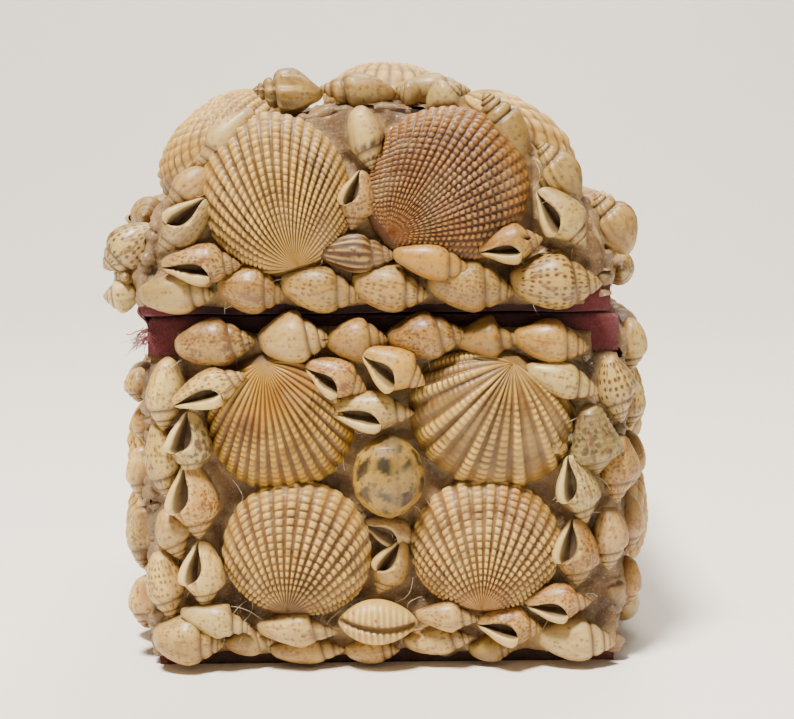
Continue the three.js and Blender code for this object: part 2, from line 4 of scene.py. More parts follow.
import bpy
import numpy as np
from mathutils import Euler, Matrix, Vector


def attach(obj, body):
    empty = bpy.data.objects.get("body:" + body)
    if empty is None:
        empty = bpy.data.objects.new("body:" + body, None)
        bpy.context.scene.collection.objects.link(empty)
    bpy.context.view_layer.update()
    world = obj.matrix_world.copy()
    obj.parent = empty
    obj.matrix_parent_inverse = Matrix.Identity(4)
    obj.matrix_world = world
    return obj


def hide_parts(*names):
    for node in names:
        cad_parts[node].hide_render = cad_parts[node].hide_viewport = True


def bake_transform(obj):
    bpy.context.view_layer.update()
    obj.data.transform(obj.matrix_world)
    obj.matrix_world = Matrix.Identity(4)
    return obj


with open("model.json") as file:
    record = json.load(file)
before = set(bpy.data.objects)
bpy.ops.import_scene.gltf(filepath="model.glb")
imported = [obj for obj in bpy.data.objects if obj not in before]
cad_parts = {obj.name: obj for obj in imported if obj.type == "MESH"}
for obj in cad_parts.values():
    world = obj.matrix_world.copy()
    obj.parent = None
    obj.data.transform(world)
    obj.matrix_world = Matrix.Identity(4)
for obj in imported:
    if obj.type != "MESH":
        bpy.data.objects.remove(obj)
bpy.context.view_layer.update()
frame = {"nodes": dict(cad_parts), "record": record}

# ---------------------------------------------------------------- dimensions, mm
WIDTH, DEPTH, BASE_HEIGHT, BOARD, LINING, GAP = 76.0, 92.0, 58.0, 2.5, 1.0, 0.3
LID_LIFT, LID_SHIFT, LID_SIDE, LID_RISE = 1.2, -1.2, 4.0, 29.0
HALF_W, HALF_D = WIDTH / 2, DEPTH / 2
LID_BOTTOM = BASE_HEIGHT + LID_LIFT
SPRING = LID_BOTTOM + LID_SIDE
BEDDED, FLAT, COCKLE_NEAR = 0.7, 0.84, 1.5
TAU = 2 * math.pi


def srgb(h):
    """A web colour as linear red, green and blue."""
    c = np.array([int(h[i:i + 2], 16) / 255 for i in (1, 3, 5)])
    return np.where(c <= 0.04045, c / 12.92, ((c + 0.055) / 1.055) ** 2.4)


def smooth(a, b, x):
    t = np.clip((x - a) / (b - a), 0, 1)
    return t * t * (3 - 2 * t)


def wobble(seed, *axes, scale=1.0, n=9):
    """A smooth random field, about -1 to 1: a few waves in random directions."""
    r = np.random.RandomState(seed)
    out = 0
    for _ in range(n):
        k = r.normal(size=len(axes))
        k *= (0.6 + 1.1 * r.rand()) / max(np.linalg.norm(k), 1e-6) / scale
        out = out + np.sin(sum(a * b for a, b in zip(k, axes)) + TAU * r.rand())
    return out / math.sqrt(n) / 0.9


# ---------------------------------------------------------------- faces of the box
_t = (math.pi / 2) * (1 - np.arange(2001) / 2000)
ARCH_X, ARCH_Z = HALF_W * np.cos(_t), LID_RISE * np.sin(_t)
ARCH_LEN = np.concatenate([[0], np.cumsum(np.hypot(np.diff(ARCH_X), np.diff(ARCH_Z)))])
ARCH_HALF = ARCH_LEN[-1]


def on_arch(s):
    s = np.asarray(s, float)
    q, sign = np.abs(s), np.where(s < 0, -1.0, 1.0)
    over = q >= ARCH_HALF
    x = np.where(over, HALF_W, np.interp(q, ARCH_LEN, ARCH_X))
    z = np.where(over, ARCH_HALF - q, np.interp(q, ARCH_LEN, ARCH_Z))
    nx = np.where(over, 1.0, x / HALF_W ** 2)
    nz = np.where(over, 0.0, z / LID_RISE ** 2)
    length = np.hypot(nx, nz)
    return LID_SHIFT + sign * x, SPRING + z, sign * nx / length, nz / length


def arch_top(x):
    """Height of the arch's outline above x."""
    return SPRING + LID_RISE * np.sqrt(np.clip(1 - ((x - LID_SHIFT) / HALF_W) ** 2, 0, 1))


def face(name, u, v, h):
    """A point (u, v) along a face and h off it, in space."""
    u, v, h = np.broadcast_arrays(np.asarray(u, float), np.asarray(v, float), np.asarray(h, float))
    if name == "front":
        return np.stack([u, -HALF_D - h, v], -1)
    if name == "back":
        return np.stack([-u, HALF_D + h, v], -1)
    if name == "left":
        return np.stack([-HALF_W - h, -u, v], -1)
    if name == "right":
        return np.stack([HALF_W + h, u, v], -1)
    x, z, nx, nz = on_arch(u)
    return np.stack([x + nx * h, v, z + nz * h], -1)


def frame_at(name, u, v, deg):
    e = 0.05
    o = face(name, u, v, 0)
    n = face(name, u, v, 1) - o
    du = face(name, u + e, v, 0) - face(name, u - e, v, 0)
    dv = face(name, u, v + e, 0) - face(name, u, v - e, 0)
    du, dv = du / np.linalg.norm(du), dv / np.linalg.norm(dv)
    a = math.radians(deg)
    d = du * math.cos(a) + dv * math.sin(a)
    return o, n, d, np.cross(d, n)


# ---------------------------------------------------------------- meshes
class Mesh:
    """Gathers vertices, faces and per-vertex values, then makes one object of them."""

    def __init__(self):
        self.v, self.q, self.t, self.n = [], [], [], 0
        self.a = {"scol": [], "ssp": [], "sprm": [], "suv": []}
        self.alpha = []

    def add(self, v, quads=None, tris=None, scol=None, ssp=None, sprm=None, suv=None, alpha=0.0):
        v = np.asarray(v, float).reshape(-1, 3)
        m = len(v)
        self.v.append(v)
        if quads is not None and len(quads):
            self.q.append(np.asarray(quads) + self.n)
        if tris is not None and len(tris):
            self.t.append(np.asarray(tris) + self.n)
        for key, val, d in (("scol", scol, (0.6, 0.5, 0.35)), ("ssp", ssp, (0.1, 0.05, 0.02)), ("sprm", sprm, (0, 0, 0)), ("suv", suv, None)):
            if val is None:
                val = v if d is None else d
            self.a[key].append(np.broadcast_to(np.asarray(val, float), (m, 3)))
        self.alpha.append(np.full(m, alpha))
        self.n += m

    def build(self, name, material, body=None, slot=None, replaces=(), flat=False):
        v = np.concatenate(self.v) * 0.001
        quads = np.concatenate(self.q) if self.q else np.zeros((0, 4), int)
        tris = np.concatenate(self.t) if self.t else np.zeros((0, 3), int)
        me = bpy.data.meshes.new(name)
        me.vertices.add(len(v))
        me.vertices.foreach_set("co", v.astype(np.float32).ravel())
        loops = np.concatenate([quads.ravel(), tris.ravel()]).astype(np.int32)
        start = np.concatenate([np.arange(len(quads)) * 4, 4 * len(quads) + np.arange(len(tris)) * 3]).astype(np.int32)
        me.loops.add(len(loops))
        me.loops.foreach_set("vertex_index", loops)
        me.polygons.add(len(start))
        me.polygons.foreach_set("loop_start", start)
        me.polygons.foreach_set("use_smooth", np.full(len(start), not flat, bool))
        me.update(calc_edges=True)
        me.validate()
        for key, vals in self.a.items():
            vals = np.concatenate(vals)
            if key in ("scol", "ssp"):
                at = me.attributes.new(key, "FLOAT_COLOR", "POINT")
                at.data.foreach_set("color", np.concatenate([vals, np.concatenate(self.alpha)[:, None]], 1).astype(np.float32).ravel())
            else:
                at = me.attributes.new(key, "FLOAT_VECTOR", "POINT")
                at.data.foreach_set("vector", vals.astype(np.float32).ravel())
        me.materials.append(material)
        o = bpy.data.objects.new(name, me)
        bpy.context.scene.collection.objects.link(o)
        if replaces:
            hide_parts(*replaces)
        if body:
            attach(o, body)
        return o


def grid(nr, nc, wrap=False):
    """Quads over nr rows and nc columns of vertices."""
    i = np.arange(nr - 1)[:, None]
    j = np.arange(nc if wrap else nc - 1)[None, :]
    k = (j + 1) % nc
    return np.stack([i * nc + j, i * nc + k, (i + 1) * nc + k, (i + 1) * nc + j], -1).reshape(-1, 4)


# ---------------------------------------------------------------- spiral shells
def _knots(xs, ys):
    x = np.linspace(0, 1, 401)
    y = np.interp(x, xs, ys)
    k = np.exp(-np.linspace(-2, 2, 25) ** 2)
    y2 = np.convolve(np.pad(y, 12, mode="reflect", reflect_type="odd"), k / k.sum(), "same")[12:-12]
    return x, y2


PROFILE = {
    "dove": _knots([0, .02, .05, .12, .24, .38, .5, .58, .64, .70, .78, .85, .93, 1], [.24, .36, .45, .58, .79, .95, 1., .97, .88, .77, .61, .46, .27, .03]),
    "slim": _knots([0, .02, .05, .13, .26, .4, .5, .58, .64, .70, .78, .86, .94, 1], [.22, .34, .43, .55, .78, .95, 1., .97, .89, .79, .62, .44, .25, .02]),
    "fat": _knots([0, .02, .05, .12, .24, .38, .52, .6, .66, .74, .82, .9, .96, 1], [.24, .38, .5, .66, .86, .98, 1., .96, .84, .68, .5, .34, .2, .03]),
    "cone": _knots([0, .02, .06, .14, .28, .42, .54, .6, .64, .72, .80, .88, .95, 1], [.2, .3, .38, .5, .72, .91, 1., .96, .76, .58, .44, .3, .16, .02]),
    "whelk": _knots([0, .02, .05, .12, .22, .36, .46, .56, .64, .74, .84, .92, 1], [.2, .3, .38, .52, .76, .96, 1., .96, .8, .62, .42, .24, .02]),
    "mouth": _knots([0, .02, .06, .14, .28, .42, .55, .63, .70, .77, .85, .93, 1], [.22, .32, .41, .55, .79, .95, 1., .95, .74, .58, .42, .24, .03]),
    "turban": _knots([0, .02, .06, .14, .3, .46, .6, .70, .76, .82, .88, .94, 1], [.3, .4, .46, .54, .68, .82, .95, 1., .86, .62, .44, .26, .04]),
    "globe": _knots([0, .02, .05, .1, .22, .38, .55, .7, .82, .9, .96, 1], [.16, .34, .48, .66, .88, .99, 1., .93, .76, .55, .32, .04]),
}

STYLES = {  # body, spire, spots, density of the spots, spot size mm, pale lip, share of the spots in rows
    "cream": ("#D9CBA6", "#E0D4B4", "#744A24", .45, .5, "#EADFC4", .2),
    "white": ("#DDD2B6", "#E4DAC4", "#7E5630", .26, .5, "#F0E8D4", .2),
    "speck": ("#CDB98E", "#D8C8A0", "#5E3416", .8, .42, "#E6DABC", .3),
    "dots": ("#D4C398", "#DDCEAA", "#54301A", .62, .42, "#EADFC4", .75),
    "dashes": ("#D4C298", "#DDCEAA", "#3A1E10", .8, .5, "#EADFC4", 1.),
    "tan": ("#C0A878", "#CFBC90", "#6E4422", .5, .5, "#E0D2AE", .2),
    "olive": ("#AE9868", "#C2B080", "#5E4222", .35, .6, "#DACA9E", .2),
    "gold": ("#CDB278", "#DAC694", "#7E4E20", .62, .5, "#E8DAB0", .2),
    "yellow": ("#CFAE64", "#DABE80", "#80501E", .35, .5, "#E8D6A4", .2),
    "orange": ("#CDB382", "#D8C49A", "#70381A", .85, .45, "#EADDC0", .2),
    "brown": ("#B89668", "#CCB284", "#44220F", .95, .5, "#E6D8B8", .3),
    "pink": ("#CCB899", "#D8C8AA", "#7A4630", .45, .5, "#EADDC8", .5),
    "grey": ("#C4B898", "#D0C5A8", "#42301E", .7, .42, "#E8DFC6", .5),
    "slate": ("#C2B89C", "#D2C8AE", "#2E2820", .8, .8, "#E8E0CC", .1),
    "net": ("#CAB288", "#D8C69E", "#542A16", .95, .5, "#E6D8B8", .15),
    "rods": ("#4A2C1A", "#7A583A", "#2A160C", .3, .5, "#C9B48C", .1),
    "bands": ("#B6A47C", "#CBBB92", "#60401F", .45, .6, "#E2D4AE", .3),
}

def spiral(L, W, roll, profile="dove", style="cream", seed=0, res=(14, 6, 40), t0=.61, q=.5, bulge=.15, turns=3.3,
           ribs=0, rib=0.0, cords=.0, lip=.2, ap=.68, depth=.66, teeth=.0, hole=None, dust=0.0, band=None, crown=0.0,
           knobs=0, knob=0.0, wing=.05):
    """A right-handed spiral shell along +Y from its front end (0) to its apex (L); roll 0 shows its back, 180 its mouth.
    Its rows of vertices follow the turns, so that each suture is a row of its own."""
    rng = np.random.RandomState(seed)
    rows_a, K, na = res
    s = np.arange(na + 1) / na
    al = TAU * (s - .42 * np.sin(TAU * s) / TAU)            # angle back from the lip
    steps = {6: [0, .09, .26, .5, .74, .91], 4: [0, .16, .5, .84], 5: [0, .12, .36, .64, .88]}[K]
    psi_rows = [k + f for k in range(-1, int(math.ceil(turns))) for f in steps]
    psi_rows = [p for p in psi_rows if p <= turns] + [turns]
    nb = len(psi_rows)
    lead = np.linspace(0, 1, rows_a + 1)[:-1]
    lead = lead ** 1.25
    c0 = al / TAU
    tA = 1 - (1 - t0) * q ** (c0 - 1)
    T = np.concatenate([lead[:, None] * tA[None, :], 1 - (1 - t0) * q ** (np.array(psi_rows)[:, None] + c0[None, :])])
    PSI = np.concatenate([np.full((rows_a, na + 1), -1.) - (1 - lead[:, None]), np.array(psi_rows)[:, None] + 0 * c0[None, :]])
    A = np.broadcast_to(al[None, :], T.shape)
    T = np.clip(T, 0, .9999)
    px, py = PROFILE[profile]
    R = (W / 2) * np.interp(T, px, py)
    psi = PSI
    body = psi < -1e-9
    frac = np.where(body, 0, psi - np.floor(psi + 1e-9))
    spire = np.sin(math.pi * np.clip(frac, 0, 1)) ** .68
    shoulder = np.sin(math.pi / 2 * np.clip(-psi / .34, 0, 1)) ** .6
    bump = np.where(body, shoulder, spire)
    late = 1 - .45 * smooth(.88, 1.0, T)
    R = R * (1 - bulge * (1 - bump) * late) * np.where(body, 1, 1 + .05 * (.5 - frac) * late)
    if crown:                                               # a flat, stepped shoulder below each suture
        R = R * (1 + crown * np.where(body, smooth(.5, .1, -psi), smooth(.5, .85, frac)) * late)
    wave = 0 * R
    if ribs:
        lean = .35 * np.sin(math.pi * np.clip(frac + np.where(body, -psi, 0), 0, 1))
        wave = (.5 + .5 * np.cos(ribs * (A + TAU * np.floor(psi + 1e-9)) + lean)) ** 1.5
        R = R * (1 + rib * (wave - .35) * smooth(.12, .45, T) * (.35 + .65 * bump))
    if knobs:
        kn = (.5 + .5 * np.cos(knobs * A)) ** 1.2 * np.where(body, np.exp(-((psi + .2) / .14) ** 2), np.exp(-((frac - .62) / .24) ** 2))
        R = R * (1 + knob * kn)
    th0 = math.radians(235 + roll)
    if cords:
        R = R * (1 + cords * np.cos(TAU * T * L / .9) * (1 - .4 * T))
    else:
        R = R * (1 + .005 * np.cos(TAU * T * L / .7) * smooth(.5, .1, T))
    back = TAU - A
    x = np.clip((T + .05) / (t0 + .05), 0, 1)
    wa = 1.62 * ap * np.sin(math.pi * x ** 1.35) ** .5 + .04
    near_mouth = smooth(t0 + .015, t0 - .03, T)
    m = (1 - smooth(wa - .22, wa + .03, back)) * near_mouth
    lipw = (1 - smooth(.0, .55, A)) * smooth(-.02, .06, T) * (1 - smooth(t0 - .02, t0 + .05, T))
    R = R * (1 + lip * lipw + wing * np.cos(np.clip(A, 0, math.pi)) * smooth(.1, .4, T) * smooth(t0 + .06, t0 - .12, T))
    fold = (1 - smooth(wa + .02, wa + .34, back)) * smooth(wa - .22, wa, back) * near_mouth
    R = R * (1 - depth * m) * (1 + .03 * fold)
    R = R * (1 + .016 * wobble(seed + 5, T * 5, np.cos(A) * 1.6, np.sin(A) * 1.6, scale=1.0))
    thm = th0 + A
    if hole is not None:                                    # a small drilled hole: (place along, angle from the top)
        ht, ha = hole
        d = np.hypot((T - ht) * L, (W / 2) * ((thm - ha + math.pi) % TAU - math.pi))
        R = R * (1 - .5 * (1 - smooth(.35, .8, d)))
        m = np.maximum(m, 1 - smooth(.35, .7, d))
    slant = .03 * L * (1 - smooth(0, .12, T)) * np.cos(A + .7)

    def where(r, th, t, sl):
        return np.stack([r * np.sin(th), t * L - sl, r * np.cos(th) * .95], -1)

    v = where(R, thm, T, slant)
    # colours
    c_body, c_spire, c_spot, dens, size, c_lip, rowness = STYLES[style]
    tint = 1 + .05 * (rng.rand(3) - .5)
    shade = .94 + .10 * rng.rand()
    col = srgb(c_body) * tint * shade + (srgb(c_spire) - srgb(c_body)) * smooth(.52, .76, T)[..., None]
    col = col + (srgb("#EEE0BE") - col) * .5 * smooth(.84, .97, T)[..., None]
    stripe = .5 + .5 * wobble(seed + 9, T * 3, A * 1.6, scale=1.0)
    col = col * (.84 + .2 * stripe[..., None])
    flame = np.clip(wobble(seed + 12, T * 1.6, A * 2.6, scale=1.0) - .35, 0, 1) * min(1, .25 + 1.3 * dens)
    k = (.4 * flame * np.where(body, 1, .6))[..., None]
    col = col * (1 - k) + (srgb(c_spot) * .5 + srgb("#9A7038") * .5) * k
    if style == "rods":
        k = (smooth(.45, .8, wave) * smooth(.04, .12, T))[..., None]
        col = col * (1 - k) + srgb("#CDB78E") * k
    # painted shade: the creases at the sutures, and between the cords, darkened to dark brown
    crease_shade = np.clip((1 - bump) ** 1.6 * np.where(T > t0 - .22, 1, 0) * late, 0, 1)
    if cords:
        crease_shade = np.maximum(crease_shade, .35 * (.5 - .5 * np.cos(TAU * T * L / .9)))
    k = (.95 * crease_shade ** .7)[..., None]
    col = col * (1 - k) + srgb("#4A3016") * .8 * k
    if band:                                                # dark marks below the suture: (colour, strength)
        below = np.where(body, smooth(.04, .10, -psi) * (1 - smooth(.26, .36, -psi)), smooth(.6, .7, frac) * (1 - smooth(.9, .97, frac)))
        dash = smooth(.0, .5, np.cos(A * 10 + 2 * rng.rand()))
        k = (band[1] * below * dash)[..., None]
        col = col * (1 - k) + srgb(band[0]) * k
    k = np.clip(.8 * lipw ** 2 + .75 * fold, 0, 1)[..., None] * .8
    col = col * (1 - k) + srgb(c_lip) * k
    # painted shade inside the mouth and the drilled hole: dark brown, darker deeper in
    dark = np.clip(m, 0, 1)[..., None] ** .8
    inner = srgb("#4A3420") + (srgb("#20140A") - srgb("#4A3420")) * smooth(.0, .35, back)[..., None]
    col = col * (1 - .93 * dark) + inner * .93 * dark
    front_end = (1 - smooth(.0, .05, T))[..., None]
    col = col * (1 - .4 * front_end) + srgb(c_lip) * .4 * front_end
    density = dens * (1 - np.clip(m * 1.5, 0, 1)) * (1 - .8 * lipw) * (1 - .55 * smooth(.7, .95, T)) * smooth(.02, .12, T)
    size *= 1.45
    suv = np.stack([A * W * .36 / size + seed * 7.3, T * L / (size * 1.1) + seed * 3.7, np.full_like(T, seed * 1.37)], -1)
    # the second value is real dust plus the painted crease shade, which the material darkens further
    prm = np.stack([density, dust + .5 * crease_shade, dark[..., 0]], -1)
    nr, nc = T.shape
    quads = [grid(nr, nc)]
    verts, cols, prms, suvs = [v.reshape(-1, 3)], [col.reshape(-1, 3)], [prm.reshape(-1, 3)], [suv.reshape(-1, 3)]
    n = nr * nc
    # the step where one turn's end meets the next turn's start
    j = np.arange(rows_a, nr - 1 - K)
    quads.append(np.stack([j * nc + nc - 1, (j + K) * nc, (j + K + 1) * nc, (j + 1) * nc + nc - 1], -1))
    # the lip's rounded edge and inner side
    jr = np.arange(0, rows_a + K + 1)
    tl, rl, pl = T[jr, 0], R[jr, 0], slant[jr, 0]
    comb = 0 * tl
    if teeth:
        comb = (.5 + .5 * np.cos(TAU * tl * L / .8)) * smooth(.06, .14, tl) * smooth(t0 - .02, t0 - .1, tl)
    edge = [(-.08, 1.06, .0), (-.22, 1.07, .25), (-.33, .99, 1.), (-.32, .84, .6), (-.08, .46, 0), (.1, .18, 0)]
    narrow = smooth(-.02, .07, tl) * .65 + .35
    for dth, f, tk in edge:
        r_ = rl * f * (1 - .5 * teeth * comb * tk * .4)
        verts.append(where(r_, th0 + (dth - teeth * comb * tk) * narrow, tl, pl))
        # the lip's inner rows are painted dark as shade inside the mouth
        g = 1 if f > .85 else .25 if f > .6 else 0
        cc = srgb(c_lip) * g + srgb("#3A2816") * (1 - g)
        cols.append(np.broadcast_to(cc * (.92 + .1 * comb[:, None]), (len(jr), 3)))
        prms.append(np.broadcast_to([0, .1, 1 - g], (len(jr), 3)))
        suvs.append(np.zeros((len(jr), 3)))
    m1 = len(jr)
    first = jr * nc
    chain = [first] + [n + i * m1 + np.arange(m1) for i in range(len(edge))]
    for p_, q_ in zip(chain[:-1], chain[1:]):
        quads.append(np.stack([p_[:-1], p_[1:], q_[1:], q_[:-1]], -1))
    n += len(edge) * m1
    # the apex and the front end
    verts.append([[0, L, 0], [0, -.012 * L, 0]])
    cols.append([srgb(c_spire) * .95, srgb(c_lip) * .8])
    prms.append([[0, 0, 0], [0, .2, 0]])
    suvs.append([[0, L, 0], [0, 0, 0]])
    i = np.arange(nc - 1)
    last = (nr - 1) * nc
    tris = [np.stack([last + i, last + i + 1, np.full(nc - 1, n)], -1), np.stack([i + 1, i, np.full(nc - 1, n + 1)], -1)]
    j = np.arange(nr - 1 - K, nr - 1)
    tris.append(np.stack([j * nc + nc - 1, np.full(K, last), (j + 1) * nc + nc - 1], -1))
    verts, cols = np.concatenate([np.asarray(a, float) for a in verts]), np.concatenate([np.asarray(a, float) for a in cols])
    return (verts, np.concatenate(quads), np.concatenate(tris), cols, np.broadcast_to(srgb(c_spot), cols.shape),
            np.concatenate([np.asarray(a, float) for a in prms]), np.concatenate([np.asarray(a, float) for a in suvs]), rowness)


def cowrie(L, W, T, nt=60, na=56):
    """A small cowrie lying on its back, so that its toothed mouth shows; along +Y."""
    ti = (np.arange(nt) + .5) / nt
    th = TAU * np.arange(na) / na
    Ti, A = np.meshgrid(ti, th, indexing="ij")
    r = np.sin(math.pi * Ti) ** .62 * (1 - .10 * (Ti - .5))
    x, z, y = r * np.sin(A) * W / 2, r * np.cos(A) * T / 2, (Ti - .5) * L + L / 2
    up = smooth(.1, .6, np.cos(A))
    line = .12 * W * np.sin(math.pi * (Ti - .1)) - .02 * W          # the mouth, a little curved
    d = x - line
    slit = np.exp(-(d / (.075 * W)) ** 2) * up * smooth(0, .05, Ti) * smooth(1, .95, Ti)
    ridge = (.5 + .5 * np.cos(TAU * y / 1.02)) ** 1.3
    reach = np.exp(-(np.abs(d) / (.52 * W)) ** 2) * (1 - slit) * up * smooth(.0, .1, Ti) * smooth(1, .9, Ti)
    z = z - 1.25 * slit + .26 * ridge * reach
    col = srgb("#D9C08E") + (srgb("#EBDDBB") - srgb("#D9C08E")) * (ridge * reach)[..., None]
    col = col * (1 - .35 * ((1 - ridge) * reach)[..., None])
    # painted shade in the slit of the mouth
    k = np.clip(slit * 1.1, 0, 1)[..., None]
    col = col * (1 - .85 * k) + srgb("#5A3A1C") * .85 * k
    v = np.stack([x, y, z], -1).reshape(-1, 3)
    N = nt * na
    v = np.concatenate([v, [[0, 0, 0], [0, L, 0]]])
    j = np.arange(na)
    k2 = (j + 1) % na
    tris = np.concatenate([np.stack([np.full(na, N), k2, j], -1), np.stack([(nt - 1) * na + j, (nt - 1) * na + k2, np.full(na, N + 1)], -1)])
    c = np.concatenate([col.reshape(-1, 3), np.tile(srgb("#C9AE7C"), (2, 1))])
    return v, grid(nt, na, True), tris, c, srgb("#86552A"), (.05, 0, 0), v.copy(), 0.0


# ---------------------------------------------------------------- cockles
def reach(phi, W, H):
    back = .07 * H
    b = (H + back) / 2
    a, c = W / 2, b - back
    s, k = np.sin(phi), np.cos(phi)
    A = s * s / a ** 2 + k * k / b ** 2
    B = -2 * k * c / b ** 2
    C = c * c / b ** 2 - 1
    r = (-B + np.sqrt(B * B - 4 * A * C)) / (2 * A)
    m = np.abs(phi) - 1.9
    return r * (1 - .16 * np.exp(-m * m * 5))


def dome(x, y, W, H, rise):
    back = .07 * H
    b = (H + back) / 2
    a, c = W / 2, b - back
    rho = np.minimum(1, np.hypot(x / a, (y - c) / b))
    return rise * (1 - rho ** 2.5) ** .62 * (1 + .16 * ((c - y) / b) * (1 - rho))


COCKLES = {  # rib, groove, near the beak, bead, blotch between beads, its strength, stain
    "cream": ("#DAC692", "#745A2A", "#BFA46C", "#E6D6AC", "#8A6430", .45, "#94702E"),
    "chestnut": ("#A47E4E", "#5E3C20", "#A8783A", "#D8C090", "#2C140C", 1., "#45261A"),
    "ochre": ("#D4BA7C", "#86601E", "#BA9A52", "#E4D09C", "#84581E", .5, "#A4701E"),
    "pale": ("#D2C092", "#7E6436", "#B89C5E", "#E2D2A6", "#5E4828", .5, "#80642E"),
    "plum": ("#D2BE90", "#80603A", "#705048", "#E6D6AE", "#6E4A2C", .55, "#5E3C38"),
    "rust": ("#D4C08E", "#84643A", "#A8804C", "#E6D8B0", "#764828", .6, "#80401E"),
}


def cockle(W, H, rise, style="cream", ribs=20, seed=0, cpr=6, rows=92, bead=1.25, beady=.3, height=.42,
           steps=0.0, stain=.5, smooth_umbo=.3, uneven=.10, umbo=None, worn=None, skew=0.0, gap=0.0):
    """A cockle valve from its beak at (0, 0) to its margin at (0, H), domed in +Z. Its ribs bow out from the beak, and columns of vertices follow them."""
    rng = np.random.RandomState(seed)
    back = .07 * H
    b = (H + back) / 2
    a_, c_ = W / 2, b - back
    phase = {6: [-.38, -.2, 0, .2, .38, .5], 5: [-.28, -.12, .12, .28, .5], 4: [-.26, 0, .26, .5]}[cpr]
    rho = np.array([i + .5 + f for i in range(ribs) for f in phase])
    rho = rho[rho < ribs + .2]
    S0 = 2 * rho / ribs - 1
    nf = len(S0)
    b0 = math.radians(58)
    closing = np.linspace(-b0, b0, 10)[1:-1]
    nc = nf + len(closing)
    tt = np.linspace(0, 1, 400)
    my = 2 * tt * (1 - tt) * c_ * .55 + tt * tt * H
    length = np.concatenate([[0], np.cumsum(np.hypot(np.diff(my), np.diff(dome(0 * tt, my, W, H, rise - .5))))])
    t = np.interp(np.linspace(0, length[-1], rows + 1)[1:], length, tt)
    T = np.broadcast_to(t[:, None], (rows, nc)).copy()
    lane1 = np.concatenate([np.floor(rho), np.full(len(closing), ribs)])
    S0 = np.concatenate([S0, np.zeros(len(closing))])
    on_rib = np.concatenate([np.ones(nf), np.zeros(len(closing))])
    ph = np.concatenate([rho - np.floor(rho) - .5, np.full(len(closing), .5)])
    S = S0[None, :] + (uneven * 2 / ribs) * wobble(seed + 1, S0[None, :] * 4.5 + 0 * T, T * .8, scale=1.0) * (1 - S0[None, :] ** 6) * on_rib
    beta = math.pi - S * (math.pi - b0) + skew * (1 - S * S)
    beta = np.where(on_rib > 0, beta, np.concatenate([np.zeros(nf), closing])[None, :])
    ex, ey = a_ * np.sin(beta), c_ - b * np.cos(beta)
    ex = ex * (1 + .03 * wobble(seed + 11, np.sin(beta) * 1.2, np.cos(beta) * 1.2, scale=1.0))
    qx = np.where(on_rib > 0, a_ * .60 * np.sign(S) * np.abs(S) ** 1.05 + .12 * a_ * math.sin(skew), ex * .5)
    qy = np.where(on_rib > 0, c_ * .55 * (1 - S * S) - .055 * H * S * S, ey * .5)
    x = 2 * T * (1 - T) * qx + T * T * ex
    y = 2 * T * (1 - T) * qy + T * T * ey
    Pw = S * 1.98
    mask = np.broadcast_to(on_rib * smooth(1.0, .94, np.abs(S0)), T.shape)
    crest = np.broadcast_to(smooth(.42, .2, np.abs(ph)), T.shape)
    if uneven > .3:                                         # a few ribs are much stronger than the rest
        crest = crest * np.clip(.75 + .5 * np.cos(lane1 * 2.4 + seed), .35, 1)[None, :]
    z = .5 + dome(x * .995, y, W, H, rise - .5)
    base = np.stack([x, y, z], -1)
    e = .02                                                 # normals of the plain dome
    zx = (dome(x + e, y, W, H, rise - .5) - dome(x - e, y, W, H, rise - .5)) / (2 * e)
    zy = (dome(x, y + e, W, H, rise - .5) - dome(x, y - e, W, H, rise - .5)) / (2 * e)
    zx, zy = np.clip(zx, -3, 3), np.clip(zy, -3, 3)
    nrm = np.stack([-zx, -zy, np.ones_like(zx)], -1)
    nrm /= np.linalg.norm(nrm, axis=-1, keepdims=True)
    jit = np.broadcast_to(.5 * np.sin(lane1 * 12.9898 + seed), T.shape)    # the beads of neighbouring ribs aren't quite in line
    along = np.interp(T, tt, length) * (.74 + .26 * np.cos(Pw * .7)) + .10 * wobble(seed + 2, Pw * 3, T * 2, scale=1.0)
    pitch = bead * (.84 + .2 * T)
    along = along + .10 * wobble(seed + 21, T * 9, lane1[None, :] * 1.7 + 0 * T, scale=1.0)
    turn = along / pitch + jit / TAU
    bw = smooth(-1.0 + gap, -.1 + gap, np.cos(TAU * turn))
    hsh = np.sin(np.floor(turn + .5) * 12.9898 + lane1[None, :] * 78.233 + seed) * 43758.5453
    amp = .72 + .5 * (hsh - np.floor(hsh))
    grow = smooth(.02, .45, T)
    on = smooth(smooth_umbo, smooth_umbo + .2, T)
    flat = 1.0
    if worn is not None:                                    # where the ribs are rubbed down: (angle, width)
        flat = 1 - .75 * np.exp(-((Pw - worn[0]) / worn[1]) ** 2)
    disp = .8 * height * (crest - .6) * (.2 + .8 * grow) * mask * flat * (1 - .6 * smooth(.86, 1, T))
    disp = disp + 1.25 * beady * (bw * amp - .7) * crest * on * mask * flat
    if steps:                                               # roof-tile scales on broad ribs
        arc = along / pitch + .12 * jit + .9 * np.broadcast_to(ph, T.shape) ** 2
        saw = (arc % 1) ** 2
        disp = disp + steps * saw * crest * on * mask
        bw = np.where(steps > 0, smooth(.25, .6, saw ** .5), bw)
    disp = disp + .03 * np.cos(TAU * along / .8) * (1 - crest) * grow
    disp = disp + .09 * wobble(seed + 8, x, y, scale=3.0) * grow
    ring = np.exp(-((T - .62) / .01) ** 2) * smooth(-.3, .3, wobble(seed + 9, Pw * 2, T * 0, scale=1.0)) + .7 * np.exp(-((T - .84) / .01) ** 2)
    disp = disp - .10 * ring * mask
    v = base + nrm * disp[..., None] * smooth(1.06, .97, T)[..., None]
